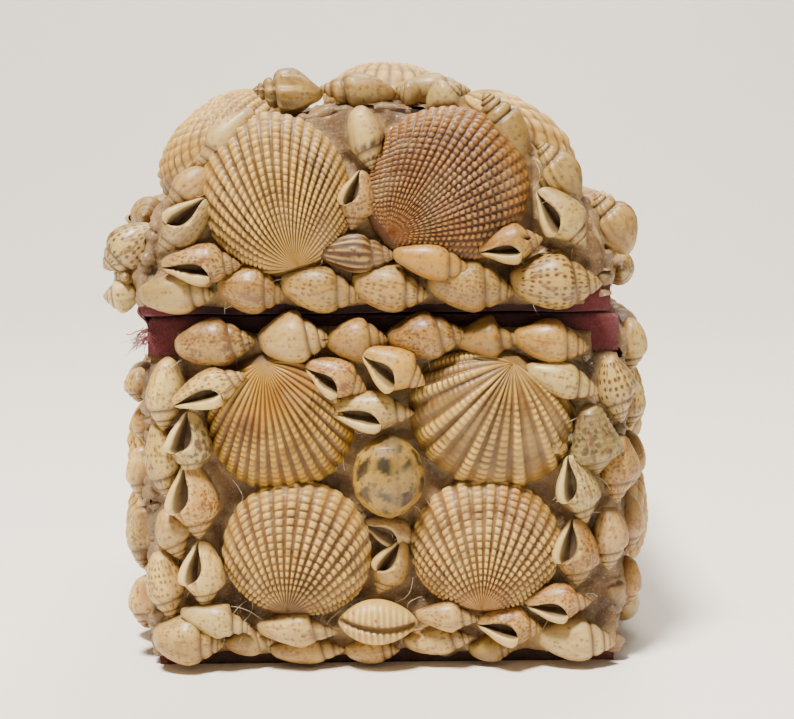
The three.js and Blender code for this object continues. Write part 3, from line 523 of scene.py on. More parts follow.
    # colour
    c_rib, c_groove, c_beak, c_bead, c_blot, blot, c_stain = [srgb(k) if isinstance(k, str) else k for k in COCKLES[style]]
    tint = 1 + .04 * (rng.rand(3) - .5)
    col = c_groove * .8 + (c_rib - c_groove * .8) * smooth(.05, .8, crest)[..., None]
    beak = smooth(.45, .08, T)[..., None]
    col = col * (1 - .75 * beak) + c_beak * .75 * beak * (.62 + .42 * crest[..., None])
    patch = np.clip(.55 + .6 * wobble(seed + 7, x, y, scale=2.6), 0, 1)
    k = (min(1, .35 + blot) * (1 - bw) * smooth(.1, .5, crest) * on * (.4 + .6 * patch) * mask)[..., None]
    col = col * (1 - k) + c_blot * k
    k = (smooth(.35, .9, bw) * smooth(.4, .9, crest) * on * (amp - .3))[..., None] * .8
    col = col * (1 - k) + c_bead * k
    # painted shadow: the closing area beside the beak is darkened
    k = ((1 - on_rib)[None, :] * np.ones_like(T))[..., None] * .8
    col = col * (1 - k) + (c_beak * .3 + c_groove * .3) * k
    cloud = wobble(seed + 3, x, y, scale=3.2)
    k = np.clip(cloud - .25, 0, 1)[..., None] * stain
    col = col * (1 - k) + c_stain * (.75 + .35 * crest[..., None]) * k
    if umbo:                                                # a coloured band near the beak: (colour, from, to, strength, side)
        band = smooth(umbo[1] - .06, umbo[1] + .05, T) * smooth(umbo[2] + .06, umbo[2] - .06, T + .04 * wobble(seed + 4, Pw * 3, T, scale=1.))
        side = 1 if not umbo[4] else smooth(-.2, 1.2, Pw * umbo[4])
        k = (umbo[3] * band * side * (1 - .45 * crest))[..., None]
        col = col * (1 - k) + srgb(umbo[0]) * k
    grime = np.clip(wobble(seed + 10, x, y, scale=1.1) - .9, 0, 1)[..., None] * .5
    col = col * (1 - grime) + srgb("#6A4A2A") * grime
    col = col * tint * (.95 + .08 * wobble(seed + 6, x, y, scale=1.3)[..., None])
    col = col * (1 - .35 * ring[..., None] * mask[..., None])
    k = (smooth(.84, 1, T) * np.clip(.55 + .45 * wobble(seed + 23, x, y, scale=1.1), 0, 1))[..., None] * .7     # glue climbs over the margin
    col = col * (1 - k) + srgb("#A8905F") * k
    edge = smooth(.965, 1, T)[..., None]
    col = col * (1 - .15 * edge) + c_bead * .15 * edge
    col = np.clip(col, .01, 1)
    M = rows * nc
    verts = np.concatenate([v.reshape(-1, 3), [[0, 0, .5 + float(dome(np.array(0.), np.array(0.), W, H, rise - .5)) + .1 * height]]])
    quads = grid(rows, nc, True)
    j = np.arange(nc)
    k = (j + 1) % nc
    tris = np.stack([j, np.full(nc, M), k], -1)
    # a short wall down into the glue, and the underside
    rim = v[-1].copy()
    rim[:, :2] *= .985
    rim[:, 2] = -.7
    verts = np.concatenate([verts, rim, [[0, H * .4, -.7]]])
    quads = np.concatenate([quads, np.stack([(rows - 1) * nc + j, (rows - 1) * nc + k, M + 1 + k, M + 1 + j], -1)])
    tris = np.concatenate([tris, np.stack([M + 1 + nc + 0 * j, M + 1 + j, M + 1 + k], -1)])
    cc = np.concatenate([col.reshape(-1, 3), c_beak[None], np.tile(c_groove * .6, (nc + 1, 1))])
    prm = np.stack([np.zeros_like(T), (1 - crest) * .4 * grow, np.zeros_like(T)], -1).reshape(-1, 3)
    prm = np.concatenate([prm, np.zeros((nc + 2, 3))])
    return verts, quads, tris, cc, c_stain, prm, verts + seed * 3.1, 0.0


# ---------------------------------------------------------------- materials
def nodes_of(name):
    m = bpy.data.materials.new(name)
    m.use_nodes = True
    nt = m.node_tree
    nt.nodes.clear()
    out = nt.nodes.new("ShaderNodeOutputMaterial")
    bsdf = nt.nodes.new("ShaderNodeBsdfPrincipled")
    nt.links.new(bsdf.outputs[0], out.inputs[0])
    return m, nt, bsdf


class N:
    """Short names for making and linking shader nodes."""

    def __init__(self, nt):
        self.nt = nt

    def new(self, kind, **sets):
        n = self.nt.nodes.new(kind)
        for k, v in sets.items():
            setattr(n, k, v)
        return n

    def link(self, a, b):
        self.nt.links.new(a, b)

    def put(self, socket, value):
        if isinstance(value, bpy.types.NodeSocket):
            self.link(value, socket)
        else:
            socket.default_value = value

    def attr(self, name, out="Color"):
        return self.new("ShaderNodeAttribute", attribute_type="GEOMETRY", attribute_name=name).outputs[out]

    def math(self, op, a, b=0.0, c=0.0, clamp=False):
        n = self.new("ShaderNodeMath", operation=op, use_clamp=clamp)
        self.put(n.inputs[0], a)
        self.put(n.inputs[1], b)
        if len(n.inputs) > 2:
            self.put(n.inputs[2], c)
        return n.outputs[0]

    def vmath(self, op, a, b=(0, 0, 0)):
        n = self.new("ShaderNodeVectorMath", operation=op)
        self.put(n.inputs[0], a)
        if op == "SCALE":
            self.put(n.inputs[3], b)
        else:
            self.put(n.inputs[1], b)
        return n.outputs[0]

    def mix(self, f, a, b, blend="MIX"):
        n = self.new("ShaderNodeMix", data_type="RGBA", blend_type=blend)
        self.put(n.inputs[0], f)
        self.put(n.inputs[6], a if not isinstance(a, np.ndarray) else (*a, 1))
        self.put(n.inputs[7], b if not isinstance(b, np.ndarray) else (*b, 1))
        return n.outputs[2]

    def noise(self, vec, scale, detail=3.0, rough=.55, out=0, dist=0.0):
        n = self.new("ShaderNodeTexNoise")
        self.put(n.inputs["Vector"], vec)
        n.inputs["Scale"].default_value = scale
        n.inputs["Detail"].default_value = detail
        n.inputs["Roughness"].default_value = rough
        n.inputs["Distortion"].default_value = dist
        return n.outputs[out]

    def ramp(self, f, stops):
        n = self.new("ShaderNodeValToRGB")
        self.put(n.inputs[0], f)
        e = n.color_ramp.elements
        while len(e) < len(stops):
            e.new(0.5)
        for el, (p, c) in zip(e, stops):
            el.position = p
            el.color = (c, c, c, 1) if isinstance(c, (int, float)) else (*c, 1)
        return n.outputs[0]

    def remap(self, v, a, b, c=0.0, d=1.0):
        n = self.new("ShaderNodeMapRange", clamp=True)
        self.put(n.inputs[0], v)
        for i, x in enumerate((a, b, c, d)):
            n.inputs[1 + i].default_value = x
        return n.outputs[0]

    def bump(self, h, strength, distance, normal=None):
        n = self.new("ShaderNodeBump")
        n.inputs["Strength"].default_value = strength
        n.inputs["Distance"].default_value = distance
        self.put(n.inputs["Height"], h)
        if normal is not None:
            self.link(normal, n.inputs["Normal"])
        return n.outputs[0]

    def where(self):
        return self.new("ShaderNodeTexCoord").outputs["Object"]


def shell_material(name, spotty, coat=.35, rough=.36, tone=(1, 1, 1)):
    m, nt, b = nodes_of(name)
    g = N(nt)
    col, spot = g.mix(1.0, g.attr("scol"), (*tone, 1), "MULTIPLY"), g.attr("ssp")
    prm = g.new("ShaderNodeSeparateXYZ")
    g.link(g.attr("sprm", "Vector"), prm.inputs[0])
    place = g.where()
    big = g.noise(place, 420, 4, .6)
    fine = g.noise(place, 2600, 3, .6)
    base = g.mix(g.remap(big, .35, .7, 0, .6), col, g.mix(1.0, col, (.84, .77, .64, 1), "MULTIPLY"))
    base = g.mix(g.remap(fine, .35, .75, 0, .4), base, g.mix(1.0, base, (1.12, 1.11, 1.08, 1), "MULTIPLY"))
    blotch = g.remap(g.noise(place, 800, 4, .65), .54, .68, 0, .55)
    base = g.mix(blotch, base, g.mix(1.0, base, (.72, .60, .44, 1), "MULTIPLY"))
    if spotty:
        suv = g.attr("suv", "Vector")
        wn = g.vmath("SCALE", g.vmath("SUBTRACT", g.noise(suv, 1.7, 2, .5, out=1), (.5, .5, .5)), 1.0)
        rows_ = g.attr("scol", "Alpha")

        def spots(vec, randomness, lo, hi, stretch):
            vor = g.new("ShaderNodeTexVoronoi", feature="F1", voronoi_dimensions="2D")
            vor.inputs["Scale"].default_value = 1.0
            vor.inputs["Randomness"].default_value = randomness
            g.link(g.vmath("MULTIPLY", vec, stretch), vor.inputs["Vector"])
            cell = g.new("ShaderNodeSeparateColor")
            g.link(vor.outputs["Color"], cell.inputs[0])
            near = g.remap(vor.outputs["Distance"], lo, hi, 1, 0)
            return g.math("MULTIPLY", near, g.math("LESS_THAN", cell.outputs[0], prm.outputs[0]))

        loose = spots(g.vmath("ADD", suv, wn), .85, .2, .42, (1, 1, 1))
        lined = spots(g.vmath("ADD", suv, g.vmath("SCALE", wn, .22)), .3, .17, .4, (.95, .62, 1))
        patch = g.remap(g.noise(suv, .3, 2, .5), .36, .5, .25, 1)
        amount = g.math("ADD", g.math("MULTIPLY", g.math("MULTIPLY", loose, patch), g.math("SUBTRACT", 1.0, rows_)), g.math("MULTIPLY", lined, rows_), clamp=True)
        base = g.mix(g.math("MULTIPLY", amount, .92), base, spot)
        # soft brown streaks across the turns
        streak = g.remap(g.noise(g.vmath("MULTIPLY", suv, (1.15, .36, 1)), .8, 4, .6), .535, .63, 0, .9)
        base = g.mix(g.math("MULTIPLY", streak, g.math("MULTIPLY", prm.outputs[0], 1.3, clamp=True)), base, g.mix(.4, spot, (*srgb("#8A5A28"), 1)))
        # fine freckles between the spots
        fr = g.noise(suv, 3.3, 3, .7)
        freck = g.math("MULTIPLY", g.remap(fr, .55, .68, 0, .8), g.math("MULTIPLY", prm.outputs[0], 1.2, clamp=True))
        base = g.mix(freck, base, spot)
    # dirt and dried glue in the hollows, and painted shade in the creases and on the shells' lower sides
    dirt_and_shade = g.math("MULTIPLY", prm.outputs[1], g.remap(g.noise(place, 900, 4, .65), .35, .65, .3, 1), clamp=True)
    base = g.mix(dirt_and_shade, base, (*(srgb("#66492A")), 1))
    haze = g.remap(g.noise(place, 170, 3, .6), .5, .74, 0, .2)
    base = g.mix(haze, base, (*(srgb("#C2AA7C")), 1))
    g.link(base, b.inputs["Base Color"])
    r = g.remap(g.noise(place, 700, 4, .6), .3, .7, rough - .1, rough + .16)
    r = g.math("ADD", r, g.math("MULTIPLY", prm.outputs[2], .3), clamp=True)
    g.link(r, b.inputs["Roughness"])
    h = g.math("ADD", g.math("MULTIPLY", fine, .5), g.math("MULTIPLY", big, .6))
    g.link(g.bump(h, .35, .00012), b.inputs["Normal"])
    b.inputs["Coat Weight"].default_value = coat
    b.inputs["Coat Roughness"].default_value = .24
    b.inputs["Coat IOR"].default_value = 1.48
    b.inputs["Subsurface Weight"].default_value = .06
    b.inputs["Subsurface Radius"].default_value = (.9, .6, .35)
    b.inputs["Subsurface Scale"].default_value = .0012
    b.inputs["Specular IOR Level"].default_value = .45
    return m


def glue_material():
    m, nt, b = nodes_of("dried_glue")
    g = N(nt)
    place = g.where()
    prm = g.new("ShaderNodeSeparateXYZ")
    g.link(g.attr("sprm", "Vector"), prm.inputs[0])
    big = g.noise(place, 130, 5, .62, dist=.4)
    mid = g.noise(place, 520, 5, .65)
    fine = g.noise(place, 2400, 4, .7)
    base = g.ramp(big, [(.28, tuple(srgb("#2C1A0C"))), (.44, tuple(srgb("#58391C"))), (.58, tuple(srgb("#866238"))), (.76, tuple(srgb("#B08E5E")))])
    base = g.mix(g.remap(mid, .48, .68, 0, .5), base, (*(srgb("#6E5636")), 1))
    base = g.mix(g.remap(fine, .56, .72, 0, .45), base, (*(srgb("#D2C09A")), 1))
    red = g.remap(g.noise(place, 85, 3, .5), .6, .72, 0, .4)
    base = g.mix(red, base, (*(srgb("#5A3430")), 1))
    base = g.mix(g.math("MULTIPLY", prm.outputs[0], .35, clamp=True), base, (*(srgb("#BBA476")), 1))   # paler where it climbs a shell
    g.link(base, b.inputs["Base Color"])
    g.link(g.remap(mid, .3, .7, .42, .8), b.inputs["Roughness"])
    h = g.math("ADD", g.math("MULTIPLY", mid, .8), g.math("MULTIPLY", fine, .8))
    g.link(g.bump(h, .9, .0004), b.inputs["Normal"])
    b.inputs["Coat Weight"].default_value = .2
    b.inputs["Coat Roughness"].default_value = .2
    b.inputs["Subsurface Weight"].default_value = .1
    b.inputs["Subsurface Radius"].default_value = (1, .6, .3)
    b.inputs["Subsurface Scale"].default_value = .001
    return m


def clear_glue_material():
    m, nt, b = nodes_of("clear_glue")
    g = N(nt)
    place = g.where()
    n = g.noise(place, 900, 4, .6)
    g.link(g.mix(g.remap(n, .4, .7), (*(srgb("#E9D9B4")), 1), (*(srgb("#CDB27E")), 1)), b.inputs["Base Color"])
    g.link(g.remap(n, .35, .7, .12, .45), b.inputs["Roughness"])
    g.link(g.bump(n, .4, .0002), b.inputs["Normal"])
    b.inputs["Transmission Weight"].default_value = .72
    b.inputs["IOR"].default_value = 1.46
    return m


def velvet_material(name, worn=.35, board=False):
    m, nt, b = nodes_of(name)
    g = N(nt)
    place = g.where()
    big = g.noise(place, 160, 4, .6)
    nap = g.noise(place, 3800, 4, .75)
    clump = g.noise(place, 1100, 3, .6)
    base = g.ramp(nap, [(.3, tuple(srgb("#2A0C12"))), (.55, tuple(srgb("#5A1519"))), (.8, tuple(srgb("#84302F")))])
    base = g.mix(g.remap(clump, .5, .75, 0, .5), base, (*(srgb("#6E2A32")), 1))
    rub = g.remap(big, .6, .8, 0, worn)
    base = g.mix(rub, base, (*(srgb("#9A6A60")), 1))
    if board:                                              # stiff with glue: brown stains
        stain = g.remap(g.noise(place, 110, 5, .62, dist=.6), .46, .6, 0, .9)
        base = g.mix(stain, base, (*(srgb("#70502C")), 1))
        dust = g.remap(g.noise(place, 1900, 3, .7), .58, .72, 0, .5)
        base = g.mix(dust, base, (*(srgb("#A58A5E")), 1))
    xyz = g.new("ShaderNodeSeparateXYZ")
    g.link(place, xyz.inputs[0])
    gap_shade = g.math("MULTIPLY", g.remap(g.math("ABSOLUTE", xyz.outputs[0]), .029, .033, 1, 0), g.remap(xyz.outputs[1], -.0440, -.0455, 0, 1))
    base = g.mix(g.math("MULTIPLY", gap_shade, .8), base, (*(srgb("#1C100A")), 1))   # painted shadow along the front of the rim, where the shells stand over it
    g.link(base, b.inputs["Base Color"])
    g.link(g.remap(big, .3, .7, .72, .95), b.inputs["Roughness"])
    h = g.math("ADD", g.math("MULTIPLY", nap, .7), g.math("MULTIPLY", clump, .6))
    g.link(g.bump(h, .7, .00035), b.inputs["Normal"])
    b.inputs["Sheen Weight"].default_value = .55 if not board else .2
    b.inputs["Sheen Roughness"].default_value = .4
    b.inputs["Sheen Tint"].default_value = (.85, .45, .48, 1)
    return m


def fibre_material(name, a, bcol):
    m, nt, b = nodes_of(name)
    g = N(nt)
    n = g.noise(g.where(), 1500, 3, .6)
    g.link(g.mix(n, (*srgb(a), 1), (*srgb(bcol), 1)), b.inputs["Base Color"])
    g.link(g.remap(n, .3, .7, .4, .7), b.inputs["Roughness"])
    return m


SHELL = shell_material("sea_shell", True, coat=.14, rough=.46, tone=(.87, .77, .45))
COCKLE = shell_material("ribbed_shell", False, coat=.12, rough=.5, tone=(.88, .71, .36))
GLUE = glue_material()
CLEAR = clear_glue_material()
VELVET = velvet_material("maroon_velvet")
STIFF = velvet_material("velvet_over_board", .4, board=True)
THREAD = fibre_material("maroon_threads", "#6E2630", "#A05A5C")
STRING = fibre_material("glue_strings", "#C9B78F", "#E6DCC2")


# ---------------------------------------------------------------- where the shells sit
def spin(fc, u0, v0, u1, v1, W, lift=None, sides=5, **look):
    return dict(kind="spiral", face=fc, u=u0, v=v0, L=math.hypot(u1 - u0, v1 - v0), W=W,
                deg=math.degrees(math.atan2(v1 - v0, u1 - u0)), lift=lift, look=look)


def cock(fc, u0, v0, u1, v1, W, rise, lift=COCKLE_NEAR, lean=0.0, **look):
    return dict(kind="cockle", face=fc, u=u0, v=v0, L=math.hypot(u1 - u0, v1 - v0), W=W, rise=rise,
                deg=math.degrees(math.atan2(v1 - v0, u1 - u0)), lift=lift, lean=lean, look=look)


seed_state = [4211]


def rnd():
    seed_state[0] = (seed_state[0] * 16807) % 2147483647
    return seed_state[0] / 2147483647


look_rng = np.random.RandomState(77)
MIXED = ["cream", "white", "speck", "dots", "tan", "cream", "orange", "cream", "grey", "pink", "dots", "dashes", "white", "bands"]


def plain_look():
    r = look_rng
    side = r.rand()
    roll = r.uniform(-35, 35) if side < .62 else 180 + r.uniform(-25, 25)
    kind = r.choice(["dove", "dove", "slim", "fat", "cone", "whelk"])
    look = dict(style=str(r.choice(MIXED)), roll=roll)
    if side < .62:
        look["profile"] = str(kind)
        if kind == "whelk":
            look.update(ribs=int(r.randint(10, 14)), rib=.14, crown=.05)
    return look


def row(fc, u0, v0, u1, v1, count, W):
    out, du, dv = [], (u1 - u0) / count, (v1 - v0) / count
    for i in range(count):
        turn = rnd() < 0.5
        w = W * (0.94 + 0.12 * rnd())
        off = (rnd() - 0.5) * 0.8
        ln = math.hypot(du, dv)
        ox, oy = (-dv / ln) * off, (du / ln) * off
        p = (u0 + du * (i + .03) + ox, v0 + dv * (i + .03) + oy)
        q = (u0 + du * (i + .97) - ox, v0 + dv * (i + .97) - oy)
        if turn:
            p, q = q, p
        out.append(spin(fc, p[0], p[1], q[0], q[1], w, **plain_look()))
    return out


V = 180
FRONT = {
    "front_top_row": [
        (-33.4, 54.2, -20.5, 54.9, 8.2, 4.0, dict(style="net", roll=-10, hole=(.92, .3), band=("#6A3A20", .8))),
        (-20.0, 54.7, -8.4, 55.2, 8.0, 3.9, dict(style="white", roll=15, hole=(.93, .1))),
        (-9.0, 54.9, 1.0, 54.7, 7.3, 3.7, dict(style="tan", roll=-20)),
        (0.9, 54.9, 13.7, 55.6, 7.6, 3.8, dict(style="brown", roll=5, t0=.56)),
        (11.6, 54.6, 22.6, 54.6, 6.5, 3.3, dict(style="olive", roll=20, profile="cone", band=("#5A4426", .6))),
        (21.3, 55.1, 33.2, 53.2, 7.4, 3.7, dict(style="gold", roll=-5, profile="slim")),
    ],
    "front_centre_cluster": [
        (-12.1, 51.2, -2.7, 46.6, 6.8, 4.8, dict(style="orange", roll=V + 4, ap=.62, teeth=.10, lip=.13)),
        (-2.7, 53.2, 6.7, 47.8, 7.4, 6.0, dict(style="yellow", roll=V + 10, ap=.7, teeth=.05)),
        (-8.7, 43.9, 5.0, 42.9, 7.1, 4.4, dict(style="cream", roll=V - 6, ap=.6, teeth=.05)),
        (-3.2, 24.7, 6.3, 21.4, 4.8, 2.8, dict(style="pink", roll=V + 15, ap=.9, lip=.15)),
        (3.0, 21.3, -1.3, 12.8, 6.2, 3.8, dict(style="tan", roll=V + 10, ap=.7)),
    ],
    "front_left_column": [
        (-35.1, 52.0, -36.0, 40.2, 6.5, 3.3, dict(style="cream", roll=10, profile="slim")),
        (-33.6, 45.4, -21.9, 49.8, 6.6, 6.0, dict(style="dots", roll=V - 14, ap=.6)),
        (-31.1, 43.4, -31.7, 32.8, 7.3, 4.4, dict(style="slate", roll=V + 8, ap=.8, knobs=7, knob=.12)),
        (-37.1, 41.3, -35.6, 28.8, 6.2, 2.4, dict(style="dots", roll=-20, profile="slim")),
        (-31.5, 34.8, -30.4, 22.3, 8.2, 4.2, dict(style="orange", roll=V + 14, ap=.62)),
        (-29.8, 21.9, -29.8, 10.8, 7.5, 4.2, dict(style="cream", roll=V + 6, ap=.62)),
        (-36.1, 27.2, -33.8, 18.6, 5.9, 2.6, dict(style="pink", roll=10)),
        (-37.4, 19.9, -35.4, 8.4, 6.9, 2.4, dict(style="dots", roll=-15)),
    ],
    "front_right_column": [
        (23.1, 50.0, 34.9, 46.0, 6.0, 4.6, dict(style="cream", roll=-10, profile="slim")),
        (33.1, 43.6, 34.6, 32.4, 8.3, 4.0, dict(style="slate", roll=20, profile="turban", cords=.025, t0=.76, q=.5, crown=.08)),
        (36.5, 51.6, 38.8, 40.6, 6.3, 2.2, dict(style="dashes", roll=20, profile="slim")),
        (30.5, 35.6, 32.8, 24.3, 7.3, 4.4, dict(style="grey", roll=V + 6, ap=.6)),
        (31.3, 25.0, 31.2, 13.7, 7.9, 4.2, dict(style="brown", roll=V + 10, ap=.7, lip=.13)),
        (27.5, 39.8, 26.2, 34.3, 4.8, 3.4, dict(style="cream", roll=40, profile="fat")),
        (38.4, 38.3, 38.0, 27.0, 6.2, 1.6, dict(style="orange", roll=30)),
        (36.9, 26.7, 36.8, 16.0, 6.3, 2.2, dict(style="pink", roll=-20)),
    ],
    "front_bottom_row": [
        (-38.4, 6.0, -26.9, 4.4, 8.4, 4.1, dict(style="cream", roll=0, ribs=16, rib=.03)),
        (-33.5, 10.4, -22.0, 7.3, 5.9, 5.2, dict(style="white", roll=-15, profile="cone", knobs=7, knob=.2, t0=.64)),
        (-26.7, 4.2, -18.6, 4.6, 4.8, 2.5, dict(style="tan", roll=10)),
        (-21.0, 7.4, -7.9, 6.6, 6.1, 4.8, dict(style="cream", roll=5, profile="cone", crown=.05, t0=.62)),
        (-19.1, 2.9, -6.8, 3.0, 5.0, 2.6, dict(style="tan", roll=0)),
        (-6.8, 2.8, 2.2, 2.8, 4.8, 2.6, dict(style="tan", roll=0)),
        (5.0, 9.5, 15.5, 8.6, 5.4, 5.0, dict(style="cream", roll=-10, profile="cone", t0=.63)),
        (3.0, 4.1, 14.5, 4.9, 5.1, 2.8, dict(style="cream", roll=10)),
        (15.3, 8.2, 25.8, 6.7, 7.1, 4.6, dict(style="orange", roll=V - 16, ap=.6)),
        (13.8, 2.7, 21.3, 3.0, 4.7, 2.6, dict(style="olive", roll=0)),
        (23.3, 11.5, 33.7, 11.4, 6.6, 5.0, dict(style="orange", roll=V - 4, ap=.62)),
        (24.7, 5.4, 37.9, 3.9, 7.6, 3.7, dict(style="white", roll=5, profile="slim")),
    ],
    "lid_front_row": [
        (-39.2, 62.6, -26.8, 62.5, 6.8, 3.3, dict(style="white", roll=0)),
        (-26.5, 63.9, -15.4, 62.1, 7.8, 3.9, dict(style="speck", roll=10, ribs=12, rib=.04)),
        (-16.3, 64.2, -3.3, 61.9, 7.8, 3.9, dict(style="dots", roll=-5)),
        (-4.8, 64.2, 7.6, 61.9, 7.8, 3.9, dict(style="dots", roll=10)),
        (7.3, 64.6, 21.3, 62.3, 8.6, 4.2, dict(style="speck", roll=0, t0=.55)),
        (2.0, 68.9, 14.4, 66.0, 5.9, 6.2, dict(style="yellow", roll=-10, profile="slim", lip=.03)),
        (20.7, 64.1, 35.3, 63.6, 9.2, 4.4, dict(style="dashes", roll=10)),
    ],
    "lid_front_arch_left": [
        (-34.8, 67.6, -22.5, 67.2, 7.3, 5.0, dict(style="net", roll=V - 8, ap=.6, teeth=.09, lip=.12)),
        (-27.9, 77.3, -35.8, 69.4, 6.9, 3.8, dict(style="grey", roll=V + 4, ap=.66)),
        (-27.4, 82.2, -34.5, 76.9, 5.8, 2.2, dict(style="pink", roll=0, profile="fat")),
        (-20.6, 91.8, -29.6, 82.9, 6.2, 2.4, dict(style="white", roll=0, profile="cone")),
    ],
    "lid_front_arch_top": [
        (-9.7, 94.3, -20.8, 95.2, 6.8, -2.8, dict(style="bands", roll=-10, ribs=8, rib=.34, bulge=.3, crown=.14, profile="whelk", t0=.56)),
        (2.2, 94.3, -10.2, 95.3, 6.3, -2.8, dict(style="bands", roll=0, profile="whelk", bulge=.3, crown=.08, t0=.55, band=("#6A4A2A", .5))),
        (6.5, 94.0, 2.5, 94.6, 4.5, -2.4, dict(style="olive", roll=0, profile="fat")),
        (7.6, 91.9, 13.1, 95.6, 6.1, -1.0, dict(style="white", roll=V + 50, lip=.18, ap=.5)),
    ],
    "lid_front_arch_right": [
        (22.8, 83.2, 16.5, 94.4, 7.4, 1.0, dict(style="olive", roll=0, profile="fat", bulge=.3, crown=.08, t0=.52, q=.6)),
        (31.6, 76.6, 25.4, 86.4, 6.9, 1.0, dict(style="bands", roll=0, profile="whelk", ribs=13, rib=.2, crown=.08, bulge=.26)),
        (40.6, 68.4, 34.8, 78.0, 7.8, -2.0, dict(style="bands", roll=20, profile="whelk", bulge=.26, crown=.1, ribs=15, rib=.14)),
        (25.5, 78.7, 32.6, 69.8, 7.4, 3.8, dict(style="cream", roll=V + 8, ap=.62, lip=.15)),
        (15.7, 69.5, 25.7, 71.0, 6.5, 5.2, dict(style="gold", roll=V - 8, ap=.55, hole=(.74, -.35))),
    ],
    "lid_front_centre": [
        (-3.6, 92.0, -1.3, 82.0, 5.7, 3.6, dict(style="white", roll=5, profile="fat", band=("#33241A", .95), t0=.57)),
        (-2.8, 81.8, -4.9, 72.6, 6.5, 3.8, dict(style="net", roll=V + 5, ap=.62, lip=.12)),
        (-10.2, 69.2, 2.2, 68.4, 6.4, 4.0, dict(style="rods", roll=0, profile="slim", ribs=13, rib=.08)),
    ],
}
LEFT_CORNER = [(49.6, 43.8, 5.6, 3.6, "dots"), (43.0, 37.0, 4.4, 4.4, "tan"), (36.4, 27.2, 5.8, 3.8, "cream"), (26.0, 15.4, 6.0, 3.8, "grey"), (14.2, 5.0, 6.0, 3.8, "cream")]
RIGHT_CORNER = [(57.0, 48.2, 6.2, 3.8, "cream"), (47.0, 38.6, 6.0, 3.8, "dots"), (38.0, 28.4, 6.2, 4.0, "orange"), (27.4, 17.6, 6.0, 3.8, "pink"), (16.6, 8.0, 5.6, 3.8, "gold")]

nodes = []      # (node, [shells])


def put(name, shells):
    nodes.append((name, shells))


BIG = [
    ("lid_front_cockle_left", -13.4, 67.0, -20.6, 91.0, 24.0, 6.8, 0, dict(style="cream", ribs=27, bead=1.0, beady=.34, height=.62, stain=.12, worn=(1.4, .5), skew=-.5)),
    ("lid_front_cockle_right", 1.0, 72.0, 21.2, 86.9, 26.0, 6.9, 0, dict(style="chestnut", ribs=32, bead=.98, beady=.32, height=.5, stain=.25, smooth_umbo=.02, skew=.15, gap=.2)),
    ("front_cockle_upper_left", -19.2, 51.4, -13.6, 30.4, 24.4, 6.2, 0, dict(style="ochre", ribs=22, bead=.92, beady=.04, steps=.24, height=.58, stain=.55, smooth_umbo=.5, uneven=.2)),
    ("front_cockle_upper_right", 20.9, 51.0, 13.8, 30.8, 27.2, 6.6, 0, dict(style="pale", ribs=17, bead=.98, beady=.04, steps=.27, height=.8, stain=.3, smooth_umbo=.3, uneven=.5, worn=(-1.5, .4))),
    ("front_cockle_lower_left", -16.2, 10.0, -12.4, 31.8, 25.0, 6.6, .06, dict(style="plum", ribs=19, bead=1.15, beady=.34, height=.62, stain=.25, uneven=.25, smooth_umbo=.2, umbo=("#5A4044", .06, .24, .9, 0))),
    ("front_cockle_lower_right", 15.6, 10.2, 17.8, 32.0, 24.6, 6.6, .06, dict(style="rust", ribs=22, bead=1.1, beady=.34, height=.58, stain=.3, uneven=.2, smooth_umbo=.18, umbo=("#7E4424", .26, .36, .8, 0))),
]
for name, u0, v0, u1, v1, W, rise, lean, look in BIG:
    put(name, [cock("front", u0, v0, u1, v1, W, rise, COCKLE_NEAR, lean, **look)])
put("front_nerite", [dict(kind="nerite", face="front", u=.4, v=39.3, L=13.6, W=11.4, rise=8.4, deg=-88, lift=5.2, lean=0, look={})])
put("front_cowrie", [dict(kind="cowrie", face="front", u=-7.9, v=8.5, L=13.0, W=7.6, rise=6.2, deg=-1, lift=5.2, lean=0, look={})])
for name in ("front_top_row", "front_centre_cluster", "front_left_column", "front_right_column", "front_bottom_row",
             "lid_front_row", "lid_front_arch_left", "lid_front_arch_top", "lid_front_arch_right", "lid_front_centre"):
    shells = [spin("front", a, b, c, d, w, lift, **look) for a, b, c, d, w, lift, look in FRONT[name]]
    if name == "front_left_column":
        shells += [spin("left", HALF_D - bk, z0, HALF_D - bk - .6, z1, w, style=st, roll=-30 + 9 * i) for i, (z0, z1, w, bk, st) in enumerate(LEFT_CORNER)]
    if name == "front_right_column":
        shells += [spin("right", -HALF_D + bk, z0, -HALF_D + bk + .6, z1, w, style=st, roll=30 - 9 * i) for i, (z0, z1, w, bk, st) in enumerate(RIGHT_CORNER)]
    put(name, shells)

TINTS = ["cream", "ochre", "pale", "plum", "rust", "cream"]


def cockle_look(i):
    r = look_rng
    return dict(style=TINTS[(i + int(r.randint(0, 6))) % 6], ribs=int(r.randint(17, 21)), bead=2.9, beady=.3, height=.6, stain=float(r.uniform(.1, .4)))


def tiers(fc, name, half, top, bottom):
    pitch = (2 * half) / 3
    mid, H = (top + bottom) / 2, (top - bottom) / 2 + 1.2
    for i in range(3):
        u = -half + pitch * (i + .5)
        k = rnd() - 0.5
        m = rnd() - 0.5
        put(f"{name}_cockles_{i + 1}", [
            cock(fc, u + k, bottom + .8, u + k + 2 * m, mid + 2.2, pitch * .93, 6.0, COCKLE_NEAR, .05, **cockle_look(i)),
            cock(fc, u - k, top - .8, u - k + 2 * m, top - H, pitch * .93, 5.6, COCKLE_NEAR, 0, **cockle_look(i + 2))])


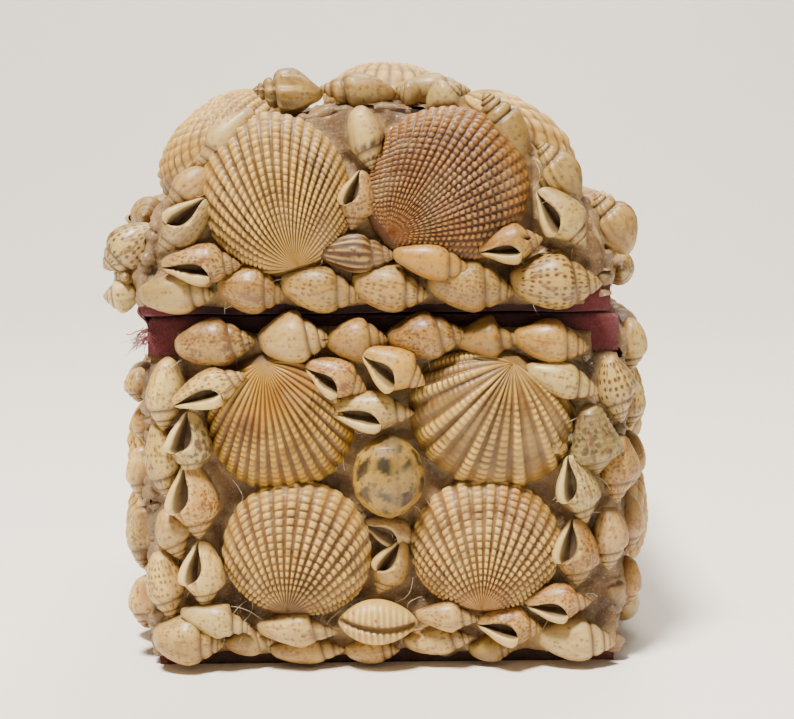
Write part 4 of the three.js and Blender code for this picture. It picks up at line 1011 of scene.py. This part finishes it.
tiers("left", "left", 37.5, 42.6, 10.2)
put("left_upper_row", row("left", -45.2, 46.4, 38.6, 46.4, 7, 6.4))
put("left_lower_row", row("left", -45.2, 5.6, 35.6, 5.6, 7, 7.0))
tiers("right", "right", 37.5, 50.2, 10.2)
put("right_upper_row", row("right", -35.8, 54.2, 45.2, 54.2, 7, 6.6))
put("right_lower_row", row("right", -35.6, 5.6, 45.2, 5.6, 7, 7.0))
tiers("back", "back", 36.6, 50.2, 10.2)
put("back_upper_row", row("back", -37.4, 54.2, 37.4, 54.2, 6, 6.6))
put("back_lower_row", row("back", -37.4, 5.6, 37.4, 5.6, 6, 7.0))
put("lid_back_cockle_left", [cock("back", -5.4, 68.6, -15.6, 86.4, 20.6, 6.0, **cockle_look(0))])
put("lid_back_cockle_right", [cock("back", 8.8, 68.6, 18.2, 86.2, 20.6, 6.0, **cockle_look(1))])
put("lid_back_row", row("back", -35.6, 63.4, 37.6, 63.4, 6, 6.6))


def arch_row():
    out, count, s0, s1 = [], 7, -47, 47
    for i in range(count):
        sa, sb = s0 + (s1 - s0) * (i + .04) / count, s0 + (s1 - s0) * (i + .96) / count
        ax, az, anx, anz = on_arch(sa)
        bx, bz, bnx, bnz = on_arch(sb)
        w = 5.8 + .7 * rnd()
        turn = rnd() < .5
        a = (-float(ax - anx * 3.6), float(az - anz * 3.6))
        b = (-float(bx - bnx * 3.6), float(bz - bnz * 3.6))
        if not turn:
            a, b = b, a
        out.append(spin("back", a[0], a[1], b[0], b[1], w, **plain_look()))
    return out


put("lid_back_arch_row", arch_row())
for i in range(6):
    right = i >= 3
    sgn = 1 if right else -1
    y = -24.5 + 25.4 * (i % 3) + (rnd() - .5)
    k = 3 * (rnd() - .5)
    big = (1.4, 3.0, 1.6) if i == 0 else (0, 0, 0)          # the one that shows past the lid's front end
    put(f"lid_{'right' if right else 'left'}_cockle_{i % 3 + 1}", [cock("vault", sgn * (14.4 + big[0]), y, sgn * (36.4 + big[1]), y + k, 23.6 + big[2], 5.8 + big[2], **{**cockle_look(i), **(dict(style="cream", ribs=27, bead=1.5, height=.7) if i == 0 else {})})])
put("lid_left_eave_row", row("vault", -51.4, -45.0, -51.4, 45.0, 7, 6.4))
put("lid_left_second_row", row("vault", -42.6, -38.4, -42.6, 45.0, 6, 6.6))
put("lid_ridge_cockle", [cock("vault", 2.4, -14.2, 2.4, -36.4, 21.6, 6.2, **{**cockle_look(2), "style": "cream"})])
put("lid_ridge_rows", row("vault", -6.2, -11.0, -6.2, 45.0, 4, 7.4) + row("vault", 4.8, -11.0, 4.8, 45.0, 4, 7.4))
put("lid_right_second_row", row("vault", 42.6, -38.4, 42.6, 45.0, 6, 6.6))
put("lid_right_eave_row", row("vault", 51.4, -40.0, 51.4, 45.0, 7, 6.4))

SLOTS = {r["node"]: r["material_slot"] for r in frame["record"]["subparts"]}


# ---------------------------------------------------------------- making the shells
def place(sh, v, squash=1.0):
    """Local shell coordinates to space."""
    if sh["kind"] == "cockle":
        a = math.radians(sh["deg"])
        ca, sa = math.cos(a), math.sin(a)
        x, y, z = v[:, 0], v[:, 1], v[:, 2]
        return face(sh["face"], sh["u"] + y * ca + x * sa, sh["v"] + y * sa - x * ca, sh["lift"] + sh["lean"] * y + z)
    o, n, d, e = frame_at(sh["face"], sh["u"], sh["v"], sh["deg"])
    lift = sh["lift"] if sh["lift"] is not None else BEDDED + FLAT * sh["W"] / 2 * .93
    return o + e * v[:, :1] + d * v[:, 1:2] + n * (lift + v[:, 2:3] * squash)


pieces = {}
count = 0
# per-node colour factors: partly the shells' own tone, partly painted shade, darkest in the two rows along the gap
# between lid and base
TONE_AND_SHADE = {"lid_front_row": (.8, .71, .52), "front_top_row": (.88, .8, .62), "front_bottom_row": (.94, .87, .78), "front_right_column": (.93, .9, .82),
        "front_left_column": (1.16, 1.1, 1.0), "lid_front_arch_left": (.9, .82, .72), "lid_front_arch_right": (.82, .75, .62), "lid_front_arch_top": (.88, .8, .68),
        "lid_front_centre": (.86, .78, .66), "front_centre_cluster": (.95, .88, .76), "lid_front_cockle_left": (.94, .88, .78),
        "lid_front_cockle_right": (.73, .58, .36), "front_cockle_upper_left": (.79, .75, .38), "front_cockle_upper_right": (.94, .92, .78),
        "front_cockle_lower_left": (.98, .92, .78), "front_cockle_lower_right": (.95, .94, .86)}
for node, shells in nodes:
    body = "lid" if node.startswith("lid_") else "base"
    front = node.startswith(("front_", "lid_front_"))
    mesh = Mesh()
    material = SHELL
    for sh in shells:
        count += 1
        look = dict(sh["look"])
        if sh["kind"] == "spiral":
            roll = look.pop("roll", 0)
            mouth = abs(((roll + 180) % 360) - 180) > 100
            many = look.get("ribs") or look.get("knobs")
            if front:
                res = (34 if look.get("teeth") else 24, 6, 52) if mouth else (26 if look.get("cords") else 14, 6, 64 if many else 38)
            else:
                res = (8, 4, 40 if many else 22)
            look.setdefault("profile", "mouth" if mouth else "dove")
            v, quads, tris, col, sp, prm, suv, rowness = spiral(sh["L"], sh["W"], roll, seed=count, dust=.08, res=res, **look)
            # painted shade: the lower side of each shell, towards the board, is darkened brown, and adds to the dirt
            # and shade value
            low = smooth(.72, -.4, v[:, 2] / (sh["W"] / 2))[:, None] * (.75 + .25 * wobble(count, v[:, 0], v[:, 1], scale=1.1))[:, None]
            col = col * (1 - .8 * low) + col * srgb("#A07440") * .8 * low
            prm = prm + np.stack([0 * low[:, 0], .35 * low[:, 0], 0 * low[:, 0]], -1)
            v = place(sh, v, .95)
        elif sh["kind"] == "cockle":
            material = COCKLE
            res = dict(cpr=6, rows=112) if front else dict(cpr=4, rows=54 if node == "lid_left_cockle_1" else 27)
            v, quads, tris, col, sp, prm, suv, rowness = cockle(sh["W"], sh["L"], sh["rise"], seed=count, **res, **look)
            v = place(sh, v)
        elif sh["kind"] == "nerite":
            v, quads, tris, col, sp, prm, suv, rowness = spiral(sh["L"], sh["W"], 0, "globe", "bands", seed=count, res=(40, 6, 64), t0=.8, q=.5, bulge=.05, lip=.0, wing=0, turns=1.6)
            # columns of dark blotches on the round body, and fine lines of growth
            y = v[:, 1] / sh["L"]
            th = np.arctan2(v[:, 0], v[:, 2])
            col = srgb("#B39A5A") * (.9 + .12 * wobble(90, y * 3, th * 2, scale=1.0)[:, None]) * (.97 + .05 * np.cos(th * 70 + 4 * wobble(93, y * 3, th, scale=1.))[:, None]) + 0 * col
            lanes = np.exp(-((th + .62) / .2) ** 2) + np.exp(-((th - .12) / .2) ** 2) + np.exp(-((th - .86) / .22) ** 2) + np.exp(-((th + 1.3) / .2) ** 2)
            cells = smooth(-.5, .0, np.cos(y * 19 + 1.5 * np.sin(th * 4))) * smooth(-1.0, -.3, wobble(91, y * 12, th * 4, scale=1.0))
            k = np.clip(1.9 * lanes * cells, 0, 1)[:, None] * smooth(.03, .12, y)[:, None] * smooth(.97, .86, y)[:, None] * .92
            col = col * (1 - k) + srgb("#16150C") * k
            k = (smooth(.12, .02, y) * .7)[:, None]
            col = col * (1 - k) + srgb("#3A3424") * k
            v = place(sh, v, sh["rise"] / sh["W"])
            sp = srgb("#2B2716")
        else:
            v, quads, tris, col, sp, prm, suv, rowness = cowrie(sh["L"], sh["W"], sh["rise"])
            v = place(sh, v)
        mesh.add(v, quads, tris, scol=col * np.array(TONE_AND_SHADE.get(node, (.94, .89, .8))), ssp=sp, sprm=prm, suv=suv, alpha=rowness)
    pieces[node] = mesh.build(node + ".shells" if len(shells) > 1 else node + ".shell", material, body, SLOTS[node], [node])


extra = Mesh()
for i, (a_, b_, c_, d_, w_, lf, lk) in enumerate([
        (-37.6, 72.6, -46.2, 66.2, 8.4, -4.4, dict(style="dashes", roll=-15, band=("#7A4A3A", .6))),
        (-40.6, 61.8, -46.4, 61.6, 5.4, -4.2, dict(style="white", roll=10)),
        (2.8, 95.2, 15.0, 94.8, 5.4, -9.0, dict(style="bands", roll=0, profile="slim"))]):
    sh = spin("front", a_, b_, c_, d_, w_, lf)
    rl = lk.pop("roll")
    lk.setdefault("profile", "dove")
    v, quads, tris, col, sp, prm, suv, rowness = spiral(sh["L"], sh["W"], rl, seed=900 + i, dust=.1, res=(14, 6, 38), **lk)
    extra.add(place(sh, v, .95), quads, tris, scol=col, ssp=sp, sprm=prm, suv=suv, alpha=rowness)
extra.build("edge_shells.lid", SHELL, "lid", SLOTS["lid_front_arch_left"])

gaps = {"base": [], "lid": []}
for fc, vs in (("left", (12.4, 27.0, 41.2)), ("right", (12.6, 30.6, 48.6)), ("back", (12.6, 30.6, 48.6))):
    gaps["base"] += [(fc, u, v_) for u in (-12.5, 12.5) for v_ in vs] + [(fc, sg * (36.4 if fc == "back" else 38.6), vs[1]) for sg in (-1, 1)]
gaps["lid"] += [("vault", sg * s_, y_) for sg in (-1, 1) for y_ in (-11.8, 13.6, 38.4) for s_ in (17.5, 34.5)]
gaps["lid"] += [("back", 1.4, 84.6), ("back", 1.0, 71.4), ("back", -29.4, 71.0), ("back", 30.8, 71.6)]
fr = np.random.RandomState(31)
for body, spots_ in gaps.items():
    extra = Mesh()
    for i, (fc, u, v_) in enumerate(spots_):
        a_, ln = fr.uniform(0, TAU), fr.uniform(5.4, 7.2)
        if fc == "vault":
            a_ = fr.uniform(-.5, .5)
        sh = spin(fc, u - .5 * ln * math.cos(a_), v_ - .5 * ln * math.sin(a_), u + .5 * ln * math.cos(a_), v_ + .5 * ln * math.sin(a_), fr.uniform(4.0, 4.8))
        v, quads, tris, col, sp, prm, suv, rowness = spiral(sh["L"], sh["W"], fr.uniform(-30, 30), seed=950 + i, dust=.1, res=(4, 4, 13),
                                                            profile=str(fr.choice(["dove", "fat", "slim"])), style=str(fr.choice(MIXED)))
        extra.add(place(sh, v, .95), quads, tris, scol=col, ssp=sp, sprm=prm, suv=suv, alpha=rowness)
    extra.build("gap_shells." + body, SHELL, body, SLOTS["back_upper_row"])


# ---------------------------------------------------------------- the glue between them
def footprint(sh, U, Vv):
    """Distance outside a shell's outline on its face, negative under it."""
    a = math.radians(sh["deg"])
    ca, sa = math.cos(a), math.sin(a)
    du, dv = U - sh["u"], Vv - sh["v"]
    y, x = du * ca + dv * sa, du * sa - dv * ca
    if sh["kind"] == "cockle":
        r, phi = np.hypot(x, y), np.arctan2(x, y)
        return r - reach(phi, sh["W"], sh["L"])
    if sh["kind"] == "spiral":
        px, py = PROFILE[sh["look"].get("profile", "dove")]
        t = np.clip(y / sh["L"], 0, 1)
        return np.hypot(x, y - t * sh["L"]) - sh["W"] / 2 * np.interp(t, px, py)
    q = np.hypot(x / (sh["W"] / 2), (y - sh["L"] / 2) / (sh["L"] / 2))
    return (q - 1) * min(sh["W"], sh["L"]) / 2


def glue_bed(name, fc, body, U, Vv, bare, seed, keep=lambda s: True):
    """A height field of glue over a face: thin between the shells, and drawn up against them."""
    h = np.full(U.shape, .75)
    climb = np.zeros(U.shape)
    for node, shells in nodes:
        if (node.startswith("lid_")) != (body == "lid"):
            continue
        for sh in shells:
            if sh["face"] != fc or not keep(sh):
                continue
            low = sh["lift"] if sh["lift"] is not None else 3.4
            if sh["kind"] == "spiral" and low > 5.0:
                continue
            d = footprint(sh, U, Vv)
            top, k = (.8, .7) if sh["kind"] == "cockle" else (1.35, .75)
            f = np.exp(-np.maximum(d, 0) / k)
            climb = np.maximum(climb, f)
            h = np.maximum(h, .75 + top * f)
    h = h + .28 * wobble(seed, U, Vv, scale=2.2) + .2 * wobble(seed + 1, U, Vv, scale=.7) + .12 * wobble(seed + 2, U, Vv, scale=.32)
    h = np.where(bare > 0, h * (1 - bare) - .9 * bare, h)
    P = face(fc, U, Vv, h)
    m = Mesh()
    nr, nc = U.shape
    m.add(P.reshape(-1, 3), grid(nr, nc), sprm=np.stack([climb, h * 0, h * 0], -1).reshape(-1, 3))
    return m.build(name, GLUE, body, "glue")


def edge_fade(U, Vv, u0, u1, v0, v1, w=1.1, seed=1):
    d = np.minimum(np.minimum(U - u0, u1 - U), np.minimum(Vv - v0, v1 - Vv)) + .5 * wobble(seed, U, Vv, scale=1.5)
    return 1 - smooth(0, w, d)


def sheet_grid(u0, u1, v0, v1, step):
    nu, nv = int(round((u1 - u0) / step)) + 1, int(round((v1 - v0) / step)) + 1
    return np.meshgrid(np.linspace(u0, u1, nu), np.linspace(v0, v1, nv))


U, W_ = sheet_grid(-38.2, 38.2, .5, 57.6, .55)
bare = edge_fade(U, W_, -39.6, 39.6, 1.2, 57.2, 1.0, 21)
bare = np.maximum(bare, smooth(-33.2, -34.2, U + .4 * wobble(22, U, W_, scale=1.2)) * smooth(50.6, 51.6, W_))
bare = np.maximum(bare, smooth(33.6, 34.6, U + .4 * wobble(23, U, W_, scale=1.2)) * smooth(51.6, 52.6, W_))
bare = np.maximum(bare, smooth(56.0, 57.0, W_ + .7 * wobble(24, U, W_, scale=1.6)))
glue_front = glue_bed("glue.front", "front", "base", U, W_, bare, 31)

K = np.linspace(0, 1, 62)[:, None]
Ul = np.linspace(-38.6, 36.2, 150)[None, :]
U = np.broadcast_to(Ul, (62, 150)).copy()
top = arch_top(U) - .35
W_ = LID_BOTTOM + .7 + K * (top - LID_BOTTOM - .7)
edge = np.minimum(np.minimum(U + 39.0, 36.6 - U), np.minimum(W_ - LID_BOTTOM - .5, (top - W_) * 1.0 + .6)) + .4 * wobble(25, U, W_, scale=1.5)
bare = 1 - smooth(0, .9, edge)
bare = np.maximum(bare, smooth(32.6, 33.6, U) * smooth(65.2, 64.2, W_))
bare = np.maximum(bare, np.exp(-(((U - 13.2) / 1.9) ** 2 + ((W_ - 90.6) / 1.1) ** 2)))
glue_lid_front = glue_bed("glue.lid_front", "front", "lid", U, W_, bare, 41)
U2 = U * 1.0
U2[:] = -U                                             # the back of the lid, seen from behind
edge = np.minimum(np.minimum(39.0 + U, 36.6 - U), np.minimum(W_ - LID_BOTTOM - .5, (top - W_) + .6)) + .4 * wobble(26, U, W_, scale=1.5)
glue_lid_back = glue_bed("glue.lid_back", "back", "lid", U2[::2, ::-2], W_[::2, ::-2], (1 - smooth(0, .9, edge))[::2, ::-2], 43)

for nm, fc, u0, u1, v1, sd in (("glue.left", "left", -45.6, 45.6, 50.6, 51), ("glue.right", "right", -45.6, 45.6, 57.4, 53), ("glue.back", "back", -37.6, 37.6, 57.4, 55)):
    U, W_ = sheet_grid(u0, u1, .6, v1, .95)
    glue_bed(nm, fc, "base", U, W_, edge_fade(U, W_, u0 - .2, u1 + .2, 1.2, v1 - .2, 1.1, sd), sd + 20)
U, W_ = sheet_grid(-56.2, 56.2, -45.6, 45.6, 1.0)
glue_bed("glue.vault", "vault", "lid", U, W_, edge_fade(U, W_, -56.4, 56.4, -45.9, 45.9, 1.1, 61), 71)


# ---------------------------------------------------------------- strings, crumbs and webs of glue
def tube(mesh, pts, r, sides=4, cap=True, **kw):
    pts = np.asarray(pts, float)
    n = len(pts)
    tan = np.gradient(pts, axis=0)
    tan /= np.maximum(np.linalg.norm(tan, axis=1, keepdims=True), 1e-9)
    ref = np.array([.3, .9, .2]) if abs(tan[0] @ np.array([0, 0, 1.])) > .9 else np.array([0, 0, 1.])
    a = np.cross(tan, ref)
    a /= np.maximum(np.linalg.norm(a, axis=1, keepdims=True), 1e-9)
    b = np.cross(tan, a)
    ang = TAU * np.arange(sides) / sides
    rr = (np.asarray(r) * np.ones(n))[:, None, None]
    ring = pts[:, None, :] + rr * (np.cos(ang)[None, :, None] * a[:, None, :] + np.sin(ang)[None, :, None] * b[:, None, :])
    v = ring.reshape(-1, 3)
    tris = []
    if cap:
        for k in range(1, sides - 1):
            tris += [(0, k, k + 1), ((n - 1) * sides, (n - 1) * sides + k + 1, (n - 1) * sides + k)]
    mesh.add(v, grid(n, sides, True), np.array(tris) if tris else None, **kw)


def ridge(mesh, pts, r, seed, sides=8):
    """A lumpy bead of glue along an edge."""
    pts = np.asarray(pts, float)
    k = np.arange(len(pts))
    rr = r * (1 + .34 * wobble(seed, k * .22, scale=1.0) + .26 * wobble(seed + 1, k * 1.3, scale=1.0))
    tube(mesh, pts + .3 * np.stack([wobble(seed + 2 + i, k * .4, scale=1.0) for i in range(3)], -1), rr, sides,
         sprm=(.5, 0, 0))


bead_base, bead_lid = Mesh(), Mesh()
zz = np.arange(1.6, 57.0, .55)
for sx, sy, sd in ((-1, -1, 301), (1, -1, 311), (1, 1, 321), (-1, 1, 331)):
    z_ = zz[zz < (50.5 if sx < 0 else 51.5)]
    ridge(bead_base, np.stack([np.full_like(z_, sx * (HALF_W - .2)), np.full_like(z_, sy * (HALF_D - .2)), z_], -1), 1.4, sd)
for sy, sd in ((-1, 341), (1, 351)):
    for s0, s1 in ((-55.5, -1.0), (0.0, 55.5)):
        ax, az, anx, anz = on_arch(np.arange(s0, s1, .6))
        ridge(bead_lid, np.stack([ax - .5 * anx, np.full_like(ax, sy * (HALF_D - .3)), az - .5 * anz], -1), .75 + .5 * smooth(22, 34, np.abs(np.arange(s0, s1, .6))), sd + int(s0 + 60))
bead_base.build("glue_bead.base", GLUE, "base", "glue")
bead_lid.build("glue_bead.lid", GLUE, "lid", "glue")

rs = np.random.RandomState(5)
strings = {"base": Mesh(), "lid": Mesh()}
for i in range(150):
    lid = rs.rand() < .42
    u = rs.uniform(-36, 36)
    v = rs.uniform(3, 56) if not lid else rs.uniform(61, 88)
    if lid and v > float(arch_top(np.array(u))) - 3:
        continue
    n = 9
    ang, ln = rs.uniform(0, TAU), rs.uniform(1.5, 6.5)
    t = np.linspace(0, 1, n)
    bend = rs.normal(0, .9)
    pu = u + ln * (t - .5) * math.cos(ang) - bend * np.sin(math.pi * t) * math.sin(ang)
    pv = v + ln * (t - .5) * math.sin(ang) + bend * np.sin(math.pi * t) * math.cos(ang)
    ph = rs.uniform(2.4, 4.2) + rs.uniform(-.6, 1.4) * np.sin(math.pi * t) + rs.normal(0, .25, n)
    if lid:
        pv = np.minimum(pv, arch_top(np.clip(pu, -38, 36)) - .8)
    tube(strings["lid" if lid else "base"], face("front", pu, pv, ph), rs.uniform(.025, .06), 3)
strings["base"].build("glue_strings.front", STRING, "base", "glue")
strings["lid"].build("glue_strings.lid", STRING, "lid", "glue")


def blob(mesh, c, r, seed, flat=(1, 1, 1), n=10, m=14, rough=.25):
    """A lumpy drop."""
    th = np.linspace(0, math.pi, n + 2)[1:-1]
    ph = TAU * np.arange(m) / m
    T, P = np.meshgrid(th, ph, indexing="ij")
    d = np.stack([np.sin(T) * np.cos(P), np.sin(T) * np.sin(P), np.cos(T)], -1)
    k = 1 + rough * wobble(seed, d[..., 0] * 2, d[..., 1] * 2, d[..., 2] * 2, scale=1.0, n=6)
    v = np.concatenate([(d * k[..., None]).reshape(-1, 3), [[0, 0, 1], [0, 0, -1]]]) * r * np.array(flat) + np.array(c)
    j = np.arange(m)
    q = (j + 1) % m
    tris = np.concatenate([np.stack([np.full(m, n * m), j, q], -1), np.stack([np.full(m, n * m + 1), (n - 1) * m + q, (n - 1) * m + j], -1)])
    mesh.add(v, grid(n, m, True)[:, ::-1], tris)


drops = Mesh()
for i, (u, v, r, fl, h) in enumerate([(33.4, 51.6, 1.0, (1, .5, 1.3), .8), (34.3, 50.2, .7, (1, .5, 1), .9), (27.4, 37.2, 2.2, (1, .35, 1.2), 3.0), (25.8, 35.6, 1.5, (.9, .4, 1.1), 3.2),
                                      (30.6, 38.6, 1.2, (1.2, .4, .7), 3.4), (13.5, 45.4, .7, (1, .6, 1), 1.9),
                                      (-25.4, 40.6, .6, (1, .6, 1), 2.2), (8.6, 36.0, .8, (1, .5, 1), 2.2), (-8.4, 33.6, .7, (1, .5, 1), 2.2)]):
    p = face("front", u, v, h)
    blob(drops, p, r, 200 + i, fl)
drops.build("glue_drops.front", CLEAR, "base", "glue")
drops = Mesh()
for i, (u, v, r, fl, h) in enumerate([(14.2, 88.8, .8, (1.2, .5, .8), 1.4), (-8.6, 71.6, .7, (1, .5, 1), 1.8), (24.6, 66.4, .8, (1.2, .5, .7), 2.6), (-22.0, 66.2, .6, (1, .5, 1), 2.6), (-1.2, 70.6, .5, (1, .6, 1), 3.2)]):
    blob(drops, face("front", u, v, h), r, 230 + i, fl)
drops.build("glue_drops.lid", CLEAR, "lid", "glue")


# ---------------------------------------------------------------- velvet
def rim(name, body, section, x0, x1, y0, y1, material, node):
    """A binding over the edge of a box: a closed thin section, (distance outside the wall, height), carried round the rectangle."""
    s = np.array(section, float)
    k = len(s)
    path = []
    per = 26
    for (ax, ay), (bx, by), (nx, ny) in (((x0, y0), (x1, y0), (0, -1)), ((x1, y0), (x1, y1), (1, 0)), ((x1, y1), (x0, y1), (0, 1)), ((x0, y1), (x0, y0), (-1, 0))):
        for i in range(per):
            t = i / per
            path.append((ax + (bx - ax) * t, ay + (by - ay) * t, nx, ny, i == 0))
    prev = [(-1, 0), (0, -1), (1, 0), (0, 1)]
    rows_, c = [], -1
    for x, y, nx, ny, corner in path:
        if corner:
            c += 1
            mx, my = nx + prev[c][0], ny + prev[c][1]
        else:
            mx, my = nx, ny
        w = .10 * wobble(len(name), np.array(x) * .4, np.array(y) * .4, scale=1.0)
        thick = s[:, 0] + np.where(s[:, 0] > 0, w, 0)
        rows_.append(np.stack([x + mx * thick, y + my * thick, s[:, 1] + .12 * wobble(7 + len(name), np.full(k, x) * .35, np.full(k, y) * .35, s[:, 0], scale=1.0)], -1))
    v = np.array(rows_)
    m = Mesh()
    n = len(rows_)
    i = np.arange(n)[:, None]
    j = np.arange(k)[None, :]
    q = np.stack([i * k + j, i * k + (j + 1) % k, ((i + 1) % n) * k + (j + 1) % k, ((i + 1) % n) * k + j], -1).reshape(-1, 4)
    m.add(v.reshape(-1, 3), q)
    return m.build(name, material, body, "velvet")


def strip_section(outer):
    """A thin closed section from a path: the path, then back .28 mm inside it."""
    p = np.array(outer, float)
    d = np.gradient(p, axis=0)
    d /= np.linalg.norm(d, axis=1, keepdims=True)
    return np.concatenate([p, (p + .26 * np.stack([d[:, 1], -d[:, 0]], -1))[::-1]])


wall = BOARD + GAP + LINING
base_path = [(.38, 52.4), (.40, 54.2), (.40, 56.0), (.38, 57.6), (.16, 58.26), (-.6, 58.42), (-1.9, 58.44), (-3.3, 58.42), (-wall - .1, 58.2), (-wall - .34, 57.6), (-wall - .34, 56.4)]
base_rim = rim("velvet.base_rim", "base", strip_section([(a, b) for a, b in base_path][::-1]), -HALF_W, HALF_W, -HALF_D, HALF_D, VELVET, "base_box")
lid_path = [(.38, 63.2), (.40, 61.6), (.40, 60.2), (.34, 59.4), (.1, 58.98), (-.6, 58.86), (-1.9, 58.84), (-3.3, 58.86), (-wall - .1, 59.1), (-wall - .34, 59.8), (-wall - .34, 61.2)]
lid_rim = rim("velvet.lid_rim", "lid", strip_section(lid_path), -HALF_W + LID_SHIFT, HALF_W + LID_SHIFT, -HALF_D, HALF_D, VELVET, "lid_box")

# the hinge: a strip that crosses the gap on the left, with a little slack
zz = np.linspace(51.7, 61.5, 25)
xx = -HALF_W - .75 - (1.35 * smooth(57.2, 59.6, zz)) - .55 * np.exp(-((zz - 58.7) / 1.3) ** 2)
yy = np.linspace(-43.8, 39.8, 121)
Z, Y = np.meshgrid(zz, yy)
X = np.interp(Z, zz, xx) + .10 * wobble(81, Y * .5, Z * .8, scale=1.0)
Y = Y + .25 * wobble(82, Z * 1.2, np.round(Y / 83.6) * 9, scale=1.0) * (np.abs(np.abs(Y + 2) - 41.8) < .5)
m = Mesh()
n1, n2 = Z.shape
outer = np.stack([X - .16, Y, Z], -1).reshape(-1, 3)
inner = np.stack([X + .16, Y, Z], -1).reshape(-1, 3)
q = grid(n1, n2)
edge_loop = [(i, 0) for i in range(n1)] + [(n1 - 1, j) for j in range(1, n2)] + [(i, n2 - 1) for i in range(n1 - 2, -1, -1)] + [(0, j) for j in range(n2 - 2, 0, -1)]
e = np.array([i * n2 + j for i, j in edge_loop])
e2 = np.roll(e, -1)
m.add(np.concatenate([outer, inner]), np.concatenate([q[:, ::-1], q + n1 * n2, np.stack([e, e2, e2 + n1 * n2, e + n1 * n2], -1)]))
hinge = m.build("velvet.hinge", VELVET, None, "velvet", ["hinge_cloth"])
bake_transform(hinge)

# its front end is frayed
fray, fray_lid = Mesh(), Mesh()
rf = np.random.RandomState(12)
for i in range(100):
    up = i % 3 == 2
    z0 = rf.uniform(59.4, 61.0) if up else rf.uniform(54.6, 56.9)
    o = np.array([-38.9 - rf.uniform(0, .3), -43.9 - rf.uniform(0, .8), z0]) if up else np.array([-37.7 - rf.uniform(0, 1.6), -45.9 - rf.uniform(0, .7), z0])
    ln = rf.uniform(.8, 2.6) if up else rf.uniform(1.0, 4.2)
    d = np.array([rf.uniform(-.25, .3) if up else rf.uniform(-.9, .35), -rf.uniform(.35, 1.0), rf.uniform(0, .5) if up else rf.uniform(-.7, 0)])
    d /= np.linalg.norm(d)
    t = np.linspace(0, 1, 7)[:, None]
    curl = np.array([0 if up else rf.normal(0, .5), 0, abs(rf.normal(0, .3)) * (1 if up else -1)])
    tube(fray_lid if up else fray, o + d * ln * t + curl * t ** 2, .055 * (1.1 - .5 * t[:, 0]), 3)
for pts in ([(-38.8, -46.2, 56.6), (-39.6, -47.2, 56.0), (-40.2, -47.6, 55.2), (-40.0, -47.7, 54.2), (-40.3, -47.4, 53.4)],
            [(-38.2, -46.4, 56.8), (-39.2, -47.2, 56.5), (-40.2, -47.4, 56.4), (-41.2, -47.2, 55.8), (-42.0, -46.8, 55.9)],
            [(-38.4, -46.5, 55.4), (-39.2, -47.1, 54.9), (-40.0, -47.4, 55.0), (-40.8, -47.6, 54.3)]):
    p = np.array(pts)
    k = np.linspace(0, len(p) - 1, 13)
    p = np.stack([np.interp(k, np.arange(len(p)), p[:, c]) for c in range(3)], -1)
    tube(fray, p, .09, 4)
fray.build("velvet.frayed_end", THREAD, "base", "velvet")
fray_lid.build("velvet.frayed_lid", THREAD, "lid", "velvet")

for node, mat in (("base_box", STIFF), ("lid_box", STIFF), ("base_lining", VELVET), ("lid_lining", VELVET)):
    o = frame["nodes"][node]
    for i in range(max(1, len(o.material_slots))):
        if not o.material_slots:
            o.data.materials.append(mat)
        else:
            o.material_slots[i].material = mat


# ---------------------------------------------------------------- floor, light and camera
def floor():
    me = bpy.data.meshes.new("floor")
    n = 40
    w = 4.0
    ys = [-4.0, .5] + [.5 + .55 * math.sin(a) for a in np.linspace(0, math.pi / 2, n)][1:] + [1.05]
    zs = [0, 0] + [.55 - .55 * math.cos(a) for a in np.linspace(0, math.pi / 2, n)][1:] + [2.2]
    verts = [(x, y, z) for y, z in zip(ys, zs) for x in (-w, w)]
    faces = [(2 * i, 2 * i + 1, 2 * i + 3, 2 * i + 2) for i in range(len(ys) - 1)]
    me.from_pydata(verts, [], faces)
    me.update()
    me.polygons.foreach_set("use_smooth", [True] * len(faces))
    o = bpy.data.objects.new("floor", me)
    bpy.context.scene.collection.objects.link(o)
    m, nt, b = nodes_of("pale_floor")
    g = N(nt)
    n_ = g.noise(g.where(), 6, 3, .5)
    g.link(g.mix(n_, (*srgb("#F5F0E8"), 1), (*srgb("#FAF6F0"), 1)), b.inputs["Base Color"])
    b.inputs["Roughness"].default_value = .55
    me.materials.append(m)


floor()


def area(name, loc, aim, size, power, colour):
    d = bpy.data.lights.new(name, "AREA")
    d.shape, d.size, d.energy, d.color = "DISK", size, power, colour
    o = bpy.data.objects.new(name, d)
    o.location = loc
    o.rotation_euler = (Vector(aim) - Vector(loc)).to_track_quat("-Z", "Y").to_euler()
    bpy.context.scene.collection.objects.link(o)


area("key", (-.2, -.42, 1.05), (0, 0, .05), .22, 36.0, (1.0, .93, .82))
area("fill", (.75, -.9, .45), (0, 0, .05), .9, .5, (1.0, .95, .88))
area("top", (.15, .4, 1.1), (0, 0, .05), .4, 9.0, (1.0, .96, .9))
world = bpy.data.worlds.new("room")
bpy.context.scene.world = world
world.use_nodes = True
world.node_tree.nodes["Background"].inputs[0].default_value = (1.0, .95, .88, 1)
world.node_tree.nodes["Background"].inputs[1].default_value = .17

cam = bpy.data.cameras.new("camera")
camera = bpy.data.objects.new("camera", cam)
bpy.context.scene.collection.objects.link(camera)
cam.sensor_width = 36
cam.lens = 1723 / 794 * 36
cam.clip_start = .01
camera.location = (.0022, -.326, .088)
camera.rotation_euler = Euler((math.radians(90 - 7.5), 0, 0))
camera.rotation_mode = "QUATERNION"
camera.rotation_quaternion = Euler((math.radians(90 - 7.5), 0, 0)).to_quaternion() @ Euler((0, 0, math.radians(-.6))).to_quaternion()
bpy.context.scene.camera = camera
